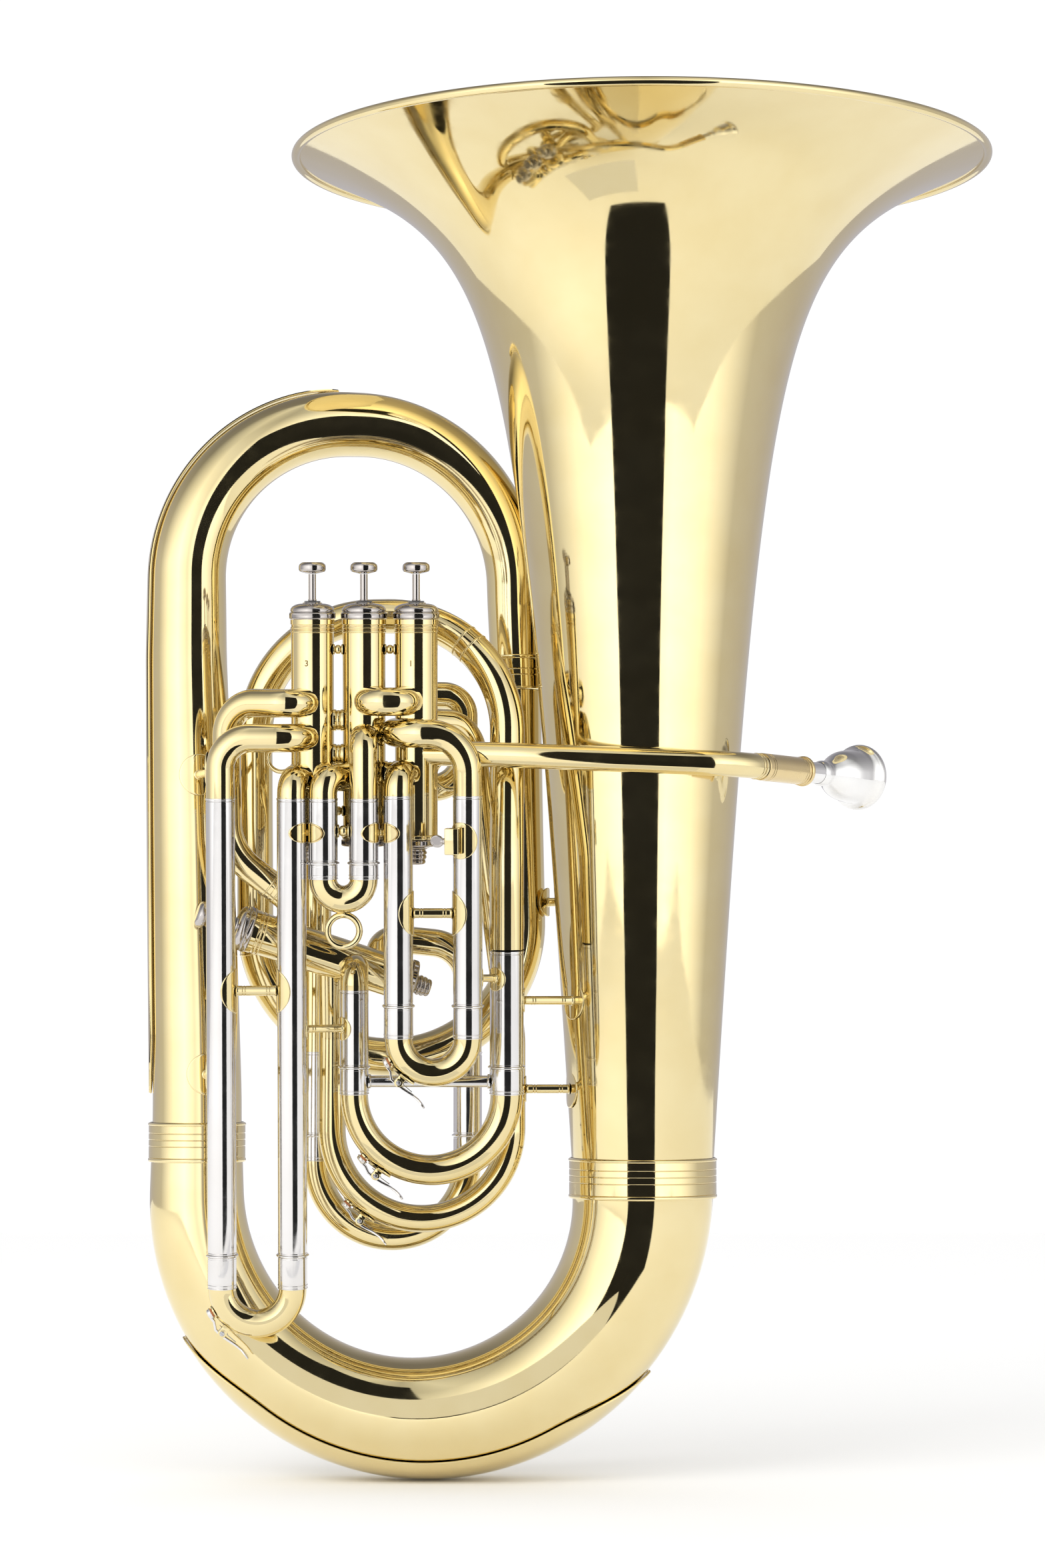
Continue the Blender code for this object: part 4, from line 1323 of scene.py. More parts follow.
@dataclass
class OuterBranch:
    """The left branch and top bow, down to the ferrule behind the bell."""

    reach: float = 152.0
    start: float = 228.6
    lean_out: float = 159.5
    height: float = 724.0
    bend: float = 110.0
    end: Vector = Vector((65.5, 46.0, 552.2)).freeze()
    large: float = 30.4
    small: float = 17.4
    wall: float = 1.0
    route: Route = field(init=False)

    def __post_init__(self) -> None:
        """Lay the branch's route from the left ferrule."""
        self.route = Route(
            [
                (-self.reach, 0.0, self.start), (-self.reach, 0.0, 262.0),
                (-self.lean_out, 0.0, 560.0), (-self.lean_out, 0.0, self.height),
                (62.5, 42.0, self.height), (64.0, 47.0, 600.0), self.end,
            ],
            [400.0, 400.0, self.bend, self.bend, 60.0],
            RIGHT,
        )

    def radius(self, along: float) -> float:
        """Give the outer radius at a length."""
        share = min(1.0, along / self.route.length)
        return self.large + (self.small - self.large) * share**1.35

    def build(self) -> None:
        """Make the branch, its guard and its ferrule."""
        bow = Tube(self.route, self.radius, self.wall, 80, step=radians(2.5), spacing=12.0)
        make_piece("top_bow_drawn", bow.shape(), "top_bow")
        last = 372.0 + self.bend * pi / 2 * 1.05
        guard = Guard(self.route, self.radius, 34.0, last, radians(20), 46.0, edge=0.6)
        guard.build("side_guard_plate", "side_guard")
        axis = self.route.frame(self.route.length)
        ring = ferrule(axis, -12.2, 12.2, self.small + 1.0, 2)
        make_piece("top_bow_ferrule_turned", ring, "top_bow_ferrule")


@dataclass
class InnerBranch:
    """The long loop from the top bow, under and over the valves, to the main slide."""

    outer: OuterBranch
    small: float = 11.45
    shrink: float = 260.0
    route: Route = field(init=False)

    def __post_init__(self) -> None:
        """Lay the loop's route."""
        end = self.outer.route.frame(self.outer.route.length)
        self.route = Route(
            [
                end @ Vector((0.0, 0.0, GAP)), end @ Vector((0.0, 0.0, 50.0)), (74.5, 34.0, 286.0),
                (-114.0, 27.0, 286.0), (-114.0, -2.0, 587.0), (60.0, -26.0, 587.0),
                main_plane(59.4, 420.0), main_plane(59.4, 359.6),
            ],
            [80.0, 92.0, 92.0, 84.0, 84.0, 60.0],
        )

    def radius(self, along: float) -> float:
        """Give the outer radius at a length."""
        return self.small + (self.outer.small - self.small) * exp(-along / self.shrink)

    def build(self) -> None:
        """Make the loop, with two thin joint rings on it."""
        pair = Profile().bead(1.6, 0.45).up(7.0).bead(1.6, 0.45)
        rings = [collar(self.route.length * share, pair) for share in (0.44, 0.78)]
        loop = Tube(self.route, self.radius, 0.7, 64, collars=rings, step=radians(3), spacing=14.0)
        make_piece("inner_branch_drawn", loop.shape(), "inner_branch")


# Valves


@dataclass
class PistonValve:
    """One piston valve on a frame at its casing's lower end, pointing to the button."""

    number: int
    axis: Matrix
    length: float
    piston_low: float
    radius: float = 14.3
    bore: float = 12.7
    piston_radius: float = 12.3
    stem: float = 2.5
    stroke: float = 18.0
    spring_radius: float = 8.4
    spring_wire: float = 0.8
    spring_turns: int = 5

    @property
    def name(self) -> str:
        """The valve's name."""
        return f"valve_{self.number}"

    @property
    def body(self) -> str:
        """The body of the piston, its stem and its button."""
        return f"{self.name}_action"

    @property
    def top(self) -> float:
        """Height of the seat under the top cap."""
        return self.length + GAP

    def casing(self) -> BMesh:
        """Turn the casing, with a rim at each end and two bead rings below the top."""
        outline = Profile(0.0, self.radius + 0.2).bead(2.8, 0.5).to(3.0, self.radius)
        outline.to(self.length - 8.8, self.radius).bead(1.4, 0.5)
        outline.up(1.1).bead(1.4, 0.5).to(self.length - 3.6, self.radius)
        outline.over(self.length - 3.2, self.radius + 0.5, 3)
        outline.to(self.length, self.radius + 0.5).to(self.length, self.bore).to(0.0, self.bore)
        return lathe(self.axis, outline.points, 96, closed=True)

    def top_cap(self) -> BMesh:
        """Turn the screwed top cap with its grip band and its dome."""
        plug = self.bore - GAP - 0.1
        low = self.length - 5.0
        outline = Profile(low, plug).to(self.top, plug).to(self.top, self.radius + 0.6)
        outline.out(self.top + 0.6, self.radius + 1.2, 3)
        outline.up(0.3).up(2.6).up(0.3)
        outline.over(self.top + 4.4, self.radius + 0.5, 3)
        outline.groove(0.8, 0.35).up(0.6)
        outline.over(self.top + 10.4, self.stem + 4.2, 10)
        outline.to(self.top + 10.9, self.stem + 3.9).to(self.top + 11.0, self.stem + 3.2)
        outline.to(self.top + 11.0, self.stem + 0.5).to(low, self.stem + 0.5)
        shape = lathe(self.axis, outline.points, 120, closed=True)
        knurl(shape, self.axis, self.top + 0.8, self.top + 3.6, 0.4, 120)
        return shape

    def bottom_cap(self) -> BMesh:
        """Turn the bottom cap with its flange and its stack of beads."""
        plug = self.bore - GAP - 0.1
        outline = Profile(5.0, plug).to(-GAP, plug).to(-GAP, self.radius + 0.7)
        outline.out(-GAP - 0.5, self.radius + 1.2, 3).up(-0.2).up(-2.4).up(-0.2)
        outline.over(-4.6, self.radius + 0.2, 3)
        outline.out(-6.2, 8.2, 4).out(-8.0, 6.2, 4)
        outline.bead(-2.4, 0.8).up(-0.4).bead(-2.4, 0.5).up(-0.3).to(-14.0, 5.6)
        outline.bead(-2.4, 0.5).over(-17.0, 4.4, 3)
        outline.to(-17.0, 1.2).to(-3.0, 1.2).to(-3.0, plug - 2.2).to(5.0, plug - 2.2)
        shape = lathe(self.axis, outline.points, 96, closed=True)
        knurl(shape, self.axis, -3.5, -0.9, 0.4, 96)
        return shape

    def piston(self) -> BMesh:
        """Turn the piston and its stem, and bore its two ports."""
        low = self.piston_low
        high = self.length - 24.0
        stem_top = self.top + 30.0
        outline = Profile(low, self.piston_radius - 0.5)
        outline.out(low + 0.5, self.piston_radius, 3)
        for share in (0.12, 0.5, 0.88):
            outline.to(low + (high - low) * share, self.piston_radius).groove(0.8, 0.3)
        outline.to(high - 0.5, self.piston_radius).over(high, self.piston_radius - 0.5, 3)
        outline.to(high + 1.0, 6.0).to(high + 1.0, self.stem)
        outline.to(self.top + 12.0, self.stem).bead(1.2, 0.45, 4)
        outline.to(stem_top, self.stem)
        shape = lathe(self.axis, outline.points, 64)
        ports = []
        for side, share in ((1, 0.3), (-1, 0.68)):
            middle = self.axis @ Vector((0.0, 0.0, low + (high - low) * share))
            reach = self.axis.to_3x3() @ Vector((16.0, 4.0 * side, 3.0))
            run = aimed(middle - reach, reach)
            ports.append(lathe(run, [(0.0, 7.0), (2 * reach.length, 7.0)], 32))
        return carved(shape, ports)

    def button(self) -> BMesh:
        """Turn the finger button, a flat disc with a soft edge and a slight dish."""
        seat = self.top + 30.0
        points = [
            (GAP, 3.0), (0.7, 4.6), (1.5, 7.9), (2.6, 8.95), (4.4, 9.1), (6.1, 8.8), (7.3, 7.6),
            (7.95, 6.1), (7.8, 4.0), (7.65, 0.05),
        ]
        outline = [(seat + height, radius) for height, radius in smooth(points, 4)]
        return lathe(self.axis, outline, 72)

    def spring(self) -> BMesh:
        """Wind the spring between the bottom cap and the piston."""
        bottom = -3.0 + GAP + self.spring_wire
        height = self.piston_low - GAP - self.spring_wire - bottom
        per_turn = 28
        count = self.spring_turns * per_turn
        points = []
        for index in range(count + 1):
            angle = 2 * pi * index / per_turn
            share = index / count
            lift = bottom + height * (share * share * (3 - 2 * share) * 0.25 + share * 0.75)
            x, y = self.spring_radius * cos(angle), self.spring_radius * sin(angle)
            points.append(self.axis @ Vector((x, y, lift)))
        return wire(points, self.spring_wire * 0.95, self.axis.col[2].xyz, 10)

    def build(self) -> None:
        """Make the valve's pieces."""
        name, plate, still = self.name, Finish.NICKEL_PLATE, Body.TUBA.value
        felt = Profile(self.top + 11.05, self.stem + 0.6).step(2.3).up(1.0).step(-2.3).points
        for piece, shape, finish, body, node in (
            ("casing_turned", self.casing(), Finish.BRASS, still, "casing"),
            ("cap", self.top_cap(), plate, still, "top_cap"),
            ("foot", self.bottom_cap(), plate, still, "bottom_cap"),
            ("plunger", self.piston(), plate, self.body, "piston"),
            ("finger_button", self.button(), plate, self.body, "button"),
        ):
            make_piece(f"{name}_{piece}", shape, f"{name}_{node}", finish, body)
        ring = lathe(self.axis, felt, 36, closed=True)
        make_piece(f"{name}_cap_felt", ring, finish=Finish.FELT)
        steel = Finish.SPRING_STEEL
        coil = make_piece(f"{name}_coil", self.spring(), f"{name}_spring", steel)
        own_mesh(coil)


@dataclass
class ValveBlock:
    """The three leaning valves, the fourth one across them, and what ties them together."""

    places: dict[int, float] = field(default_factory=lambda: {1: -1.1, 2: -36.0, 3: -70.5})
    bottom: float = 433.0
    length: float = 147.0
    fourth_bottom: Vector = Vector((-9.0, -17.4, 338.2)).freeze()
    fourth_button: Vector = Vector((-153.0, -48.0, 385.0)).freeze()
    fourth_length: float = 112.0
    knuckle: float = 6.4
    valves: dict[int, PistonValve] = field(init=False)

    def __post_init__(self) -> None:
        """Place the four valves."""
        self.valves = {}
        for number, x in self.places.items():
            axis = aimed(group(x, VALVE_BACK, self.bottom), VALVE_GROUP.up)
            self.valves[number] = PistonValve(number, axis, self.length, self.length - 110.0)
        axis = aimed(self.fourth_bottom, self.fourth_button - self.fourth_bottom)
        self.valves[4] = PistonValve(4, axis, self.fourth_length, 30.0)

    def casing(self, number: int) -> Casing:
        """Give the round that tubes are fitted to on a valve."""
        return Casing(self.valves[number].axis)

    def knuckles(self) -> list[BMesh]:
        """Make the short tubes between the casings, with a collar at both ends."""
        shapes = []
        skin = self.valves[2].radius - 0.6
        for other, up in ((3, 512.6), (3, 489.5), (1, 478.0)):
            side = 1 if other == 1 else -1
            start = group(self.places[2] + side * skin, VALVE_BACK, up)
            end = group(self.places[other] - side * skin, VALVE_BACK, up)
            length = (end - start).length
            outline = Profile(0.0, self.knuckle + 1.0).to(1.2, self.knuckle + 1.0)
            outline.over(2.4, self.knuckle, 4)
            outline.bead(length - 4.8, 0.5, 8)
            outline.out(length - 1.2, self.knuckle + 1.0, 4)
            outline.to(length, self.knuckle + 1.0)
            shapes.append(lathe(aimed(start, end - start, UP), outline.points, 48))
        return shapes

    def ties(self) -> list[BMesh]:
        """Make the turned ties between the casings near their tops and bottoms."""
        shapes = []
        radius = self.valves[2].radius - 0.25
        for left, right in ((3, 2), (2, 1)):
            for up in (560.0, 452.0):
                start = group(self.places[left] + radius, VALVE_BACK - 3.0, up)
                end = group(self.places[right] - radius, VALVE_BACK - 3.0, up)
                shapes.append(baluster(start, end, 3.6))
        return shapes

    def numeral(self, number: int, up: float) -> None:
        """Engrave a valve's number on the front of its casing.

        Args:
            number: The valve.
            up: Height of the figure's foot.
        """
        lettering = bpy.data.curves.new(f"figure_{number}", "FONT")
        lettering.body = str(number)
        lettering.size = 5.6
        lettering.align_x = "CENTER"
        lettering.extrude = 0.06
        lettering.offset = 0.13
        lettering.resolution_u = 6
        writer = linked(f"figure_{number}", lettering)
        graph = bpy.context.evaluated_depsgraph_get()
        shape = bmesh.new()
        shape.from_mesh(writer.evaluated_get(graph).to_mesh())
        bpy.data.objects.remove(writer, do_unlink=True)
        bmesh.ops.triangulate(shape, faces=shape.faces[:])
        bmesh.ops.subdivide_edges(shape, edges=shape.edges[:], cuts=1)
        radius = self.valves[number].radius + 0.02
        place = VALVE_GROUP.frame(group(self.places[number], VALVE_BACK, up))
        for vert in shape.verts:
            x, y, z = vert.co
            around = (x - 3.3) / radius
            out = radius + z
            vert.co = place @ Vector((out * sin(around), -out * cos(around), y))
        make_piece(f"valve_{number}_figure", shape, finish=Finish.ENGRAVING)

    def build(self) -> None:
        """Make the valves, their knuckles, their ties and their numbers."""
        for valve in self.valves.values():
            valve.build()
        make_piece("valve_knuckles", joined(self.knuckles()))
        make_piece("valve_ties", joined(self.ties()))
        for number in (1, 3):
            self.numeral(number, 549.0)


# Slides


@dataclass(frozen=True)
class TubeSizes:
    """Radii that the cylindrical tubing and its slides share."""

    brass: float = 9.5
    sleeve: float = 9.75
    sleeve_bore: float = 9.15
    leg: float = 8.75
    leg_bore: float = 8.2
    bow: float = 9.3
    elbow: float = 10.4


SIZES = TubeSizes()
WIDER_LEG = 1.7
END_BEAD = Profile().bead(1.9, 1.2).up(0.5).groove(0.6, 0.3)
SEAM = Profile().groove(0.6, 0.35).up(0.8).bead(0.9, 0.3, 5)


@dataclass
class Branch:
    """A fixed tube that a slide's leg runs in: a sleeve, then brass to a valve."""

    route: Route
    sleeve: float
    casing: Casing | None = None
    extra: float = 0.0

    def sleeve_shape(self) -> BMesh:
        """Make the nickel-silver sleeve with a bead at its mouth and a seam line."""
        radius = SIZES.sleeve + self.extra
        beads = [collar(0.0, END_BEAD), collar(self.sleeve - 2.4, SEAM)]
        wall = SIZES.sleeve - SIZES.sleeve_bore
        return Tube(self.route, radius, wall, 56, 0.0, self.sleeve, beads).shape()

    def brass_shape(self) -> BMesh:
        """Make the brass tube from the sleeve to the valve."""
        radius = SIZES.brass + self.extra
        return Tube(
            self.route, radius, 0.5, 56, self.sleeve - 0.2, end_on=self.casing, step=radians(4),
        ).shape()


@dataclass
class Slide:
    """A U slide that pulls out of two sleeves."""

    name: str
    place: Callable[[float, float], Vector]
    left: float
    right: float
    ring: float
    ferrule: float
    depth: float
    extra: tuple[float, float] = (0.0, 0.0)

    @property
    def body(self) -> str:
        """The body that the slide is."""
        return f"{self.name}_body"

    @property
    def half(self) -> float:
        """Half the distance between the legs."""
        return (self.right - self.left) / 2

    @property
    def route(self) -> Route:
        """The slide's centre line from the left leg's end to the right one's."""
        low = self.ferrule - self.half
        top = self.ring + self.depth
        corners = [
            self.place(self.left, top), self.place(self.left, low), self.place(self.right, low),
            self.place(self.right, top),
        ]
        return Route(corners, [self.half, self.half - 0.01], RIGHT)

    def build(self) -> None:
        """Make the bow and the two legs with their ferrules."""
        route = self.route
        leg = self.depth + GAP
        collar_end = leg + self.ring - self.ferrule - GAP
        near, far = self.extra

        def bow_radius(along: float) -> float:
            share = (along - collar_end) / (route.length - 2 * collar_end)
            return SIZES.bow + near + (far - near) * min(1.0, max(0.0, share))

        bow = Tube(
            route, bow_radius, SIZES.bow - SIZES.leg_bore, 64, collar_end - 0.6,
            route.length - collar_end + 0.6, step=radians(3),
        )
        make_piece(f"{self.name}_bow", bow.shape(), self.name, body=self.body)
        lip, width = SIZES.sleeve - SIZES.leg, collar_end - leg
        mouth = Profile(0.0, lip).up(0.8).groove(0.5, 0.15).up(0.5).points
        seam = Profile(0.0, lip).bead(0.8, 0.3, 5).up(0.5).groove(0.5, 0.15).up(0.3)
        seam.bead(0.8, 0.3, 5)
        legs = []
        for first, last, extra, sign in (
            (0.0, collar_end, near, 1), (route.length - collar_end, route.length, far, -1),
        ):
            order = (mouth, seam.points) if sign == 1 else (seam.points, mouth)
            shift = width - order[1][-1][0]
            rows = [*order[0], *((shift + along, rise) for along, rise in order[1])]
            rows = [(0.0, 0.0), *rows] if sign == 1 else [*rows, (width, 0.0)]
            rings = [Collar(leg if sign == 1 else first, tuple(rows))]
            wall = SIZES.leg - SIZES.leg_bore
            legs.append(Tube(route, SIZES.leg + extra, wall, 56, first, last, rings).shape())
        make_piece(f"{self.name}_legs", joined(legs), "", Finish.NICKEL_SILVER, self.body)


@dataclass
class SlideWork:
    """The five slides, the tubes that they run in, and their grips."""

    block: ValveBlock
    slides: dict[str, Slide] = field(default_factory=dict)

    def __post_init__(self) -> None:
        """List the slides."""
        rows = [
            Slide("slide_1", front, -12.5, 33.6, 322.6, 302.0, 130.0),
            Slide("slide_2", front, -62.4, -35.4, 417.8, 408.0, 38.0),
            Slide("slide_3", front, -130.5, -83.3, 155.9, 134.5, 290.0),
            Slide("main_slide", main_plane, -43.1, 59.4, 279.4, 262.0, 48.0, (0.0, WIDER_LEG)),
            Slide("slide_4", fourth_plane, -70.5, 32.5, 232.0, 215.5, 52.0),
        ]
        self.slides = {slide.name: slide for slide in rows}

    def branches(self) -> dict[str, list[Branch]]:
        """List the fixed tubes of each slide, keyed by the CAD nodes that they replace."""
        port = -62.0
        elbow = SIZES.elbow
        third = (
            [
                front(-130.5, 155.9), front(-130.5, 501.6), front(-78.0, 501.6),
                group(-74.0, port, 501.6),
            ],
            [front(-83.3, 155.9), front(-83.3, 474.5), group(-76.0, port, 474.5)],
        )
        first = (
            [front(-12.5, 322.6), front(-12.5, 477.4), group(-5.0, port, 477.4)],
            [front(33.6, 322.6), front(33.6, 504.7), front(-14.5, 504.7), group(-9.0, port, 504.7)],
        )
        second = (
            [front(-62.4, 417.8), front(-62.4, 475.2), group(-42.0, -64.0, 475.2)],
            [front(-35.4, 417.8), front(-35.4, 501.6), group(-35.4, -64.0, 501.6)],
        )
        main_left = [main_plane(-43.1, 279.4), main_plane(-43.1, 345.4), (-43.1, -28.0, 348.0)]
        main_right = [main_plane(59.4, 279.4), main_plane(59.4, 360.0)]
        fourth_left = [(-70.5, 5.0, 232.0), (-70.5, 5.0, 457.0), (-70.5, -40.0, 462.0)]
        fourth_right = [
            (32.5, 5.0, 232.0), (32.5, 5.0, 362.0), (-27.0, -2.0, 368.0), (-27.0, -22.0, 346.0),
        ]
        branches: dict[str, list[Branch]] = {}
        for node, corners, bends, sleeve, valve in (
            ("slide_3_tubes", third[0], [20.0, 20.0], 306.0, 3),
            ("slide_3_tubes", third[1], [elbow], 306.0, 3),
            ("slide_1_tubes", first[0], [elbow], 141.0, 1),
            ("slide_1_tubes", first[1], [26.0, 20.0], 141.0, 1),
            ("slide_2_tubes", second[0], [elbow], 44.0, 2),
            ("slide_2_tubes", second[1], [elbow], 44.0, 2),
            ("main_slide_left_tube", main_left, [elbow], 53.0, 4),
            ("main_slide_right_tube", main_right, [], 79.0, None),
            ("slide_4_left_tube", fourth_left, [22.0], 58.0, 3),
            ("slide_4_right_tube", fourth_right, [26.0, 14.0], 58.0, 4),
        ):
            casing = self.block.casing(valve) if valve else None
            extra = 0.0 if valve else WIDER_LEG
            branch = Branch(Route(corners, bends, RIGHT), sleeve, casing, extra)
            branches.setdefault(node, []).append(branch)
        return branches

    def pull_ring(self) -> BMesh:
        """Make the finger ring under the second slide, on its little neck."""
        slide = self.slides["slide_2"]
        lowest = slide.ferrule - slide.half - SIZES.bow
        middle = (slide.left + slide.right) / 2
        ring = round_off(VALVE_GROUP.frame(front(middle, lowest - 11.6)))
        neck = Profile(0.0, 3.4).out(1.4, 2.0).over(2.6, 2.8)
        start = front(middle, lowest + 0.5)
        post = lathe(aimed(start, -VALVE_GROUP.up), neck.points, 32)
        return joined([hoop(ring, 10.6, 2.2, 72), post])

    def cross_bar(self) -> BMesh:
        """Make the tube across the main slide's ferrules, with a saddle at each end."""
        slide = self.slides["main_slide"]
        up = 270.5
        start = main_plane(slide.left + SIZES.sleeve - 0.3, up)
        end = main_plane(slide.right - SIZES.sleeve - 1.4, up)
        length = (end - start).length
        outline = Profile(0.0, 5.0).up(0.8).over(2.0, 4.0)
        outline.to(length - 2.0, 4.0).out(length - 0.8, 5.0).up(0.8)
        return lathe(aimed(start, end - start, UP), outline.points, 40)

    def build(self) -> None:
        """Make the slides, their tubes and their grips."""
        for slide in self.slides.values():
            slide.build()
        for node, branches in self.branches().items():
            sleeves = joined([branch.sleeve_shape() for branch in branches])
            make_piece(f"{node}_sleeves", sleeves, node, Finish.NICKEL_SILVER)
            if branches[0].casing:
                brass = joined([branch.brass_shape() for branch in branches])
                make_piece(f"{node}_brass", brass)
        make_piece("slide_2_pull_ring", self.pull_ring(), body="slide_2_body")
        bar, silver = self.cross_bar(), Finish.NICKEL_SILVER
        make_piece("main_slide_cross_bar", bar, "", silver, "main_slide_body")


@dataclass
class FixedTubes:
    """The tubes between the valves, and the fourth valve's branch."""

    block: ValveBlock
    branch: Route = field(init=False)

    def __post_init__(self) -> None:
        """Lay the branch's route."""
        self.branch = Route(
            [
                (-59.3, -24.0, 346.0), (-59.3, -15.0, 300.0), (-59.3, -15.0, 177.3),
                (62.7, -15.0, 177.3), (62.7, -15.0, 300.0), (34.0, -31.0, 512.0),
                (-1.0, -56.0, 512.0),
            ],
            [20.0, 60.9, 60.9, 60.0, 22.0],
            RIGHT,
        )

    def build(self) -> None:
        """Make the tubes."""
        landing = self.block.valves[4].axis @ Vector((0.0, 0.0, 90.0))
        out = Vector((0.36, -0.58, 0.73)).normalized()
        elbow = SIZES.elbow
        transfer = [
            group(-74.0, -62.0, 524.5), front(-78.0, 524.5), group(-128.0, -63.5, 524.5),
            group(-127.0, -63.5, 425.0), landing + out * 32.0, landing + out * 10.0,
        ]
        knuckle = [
            group(-33.5, -64.0, 525.8), front(-31.5, 525.8), front(-9.5, 525.8),
            group(-4.5, -64.0, 525.8),
        ]
        loop = [
            (-1.0, -52.0, 533.0), (-1.0, -14.0, 533.0), (30.0, -8.0, 533.0),
            (30.0, -6.0, 470.0), (-36.0, -10.0, 470.0), (-36.0, -50.0, 470.0),
        ]
        lines = Profile().bead(1.4, 0.4).up(2.6).groove(0.6, 0.25).up(2.6).bead(1.4, 0.4)
        first = Route(transfer, [14.0, 22.0, 40.0, 15.0])
        second, last = Route(knuckle, [elbow, elbow]), Route(loop, [13.0, 14.0, 22.0, 22.0])
        rings = [collar(first.length - 42.0, lines)]
        for name, node, route, radius, ends, step in (
            ("transfer_tube", "transfer_tube", first, SIZES.brass, (3, 4), 5),
            ("front_knuckle", "front_knuckle", second, SIZES.brass, (2, 1), 5),
            ("fourth_branch", "fourth_valve_branch", self.branch, SIZES.bow, (4, 1), 3),
            ("compensating_loop", "compensating_loop", last, SIZES.bow, (1, 2), 5),
        ):
            casings = [self.block.casing(number) for number in ends]
            lined = rings if route is first else ()
            tube = Tube(route, radius, 0.5, 56, 0.0, None, lined, *casings, radians(step))
            make_piece(f"{name}_drawn", tube.shape(), node)


# Water keys


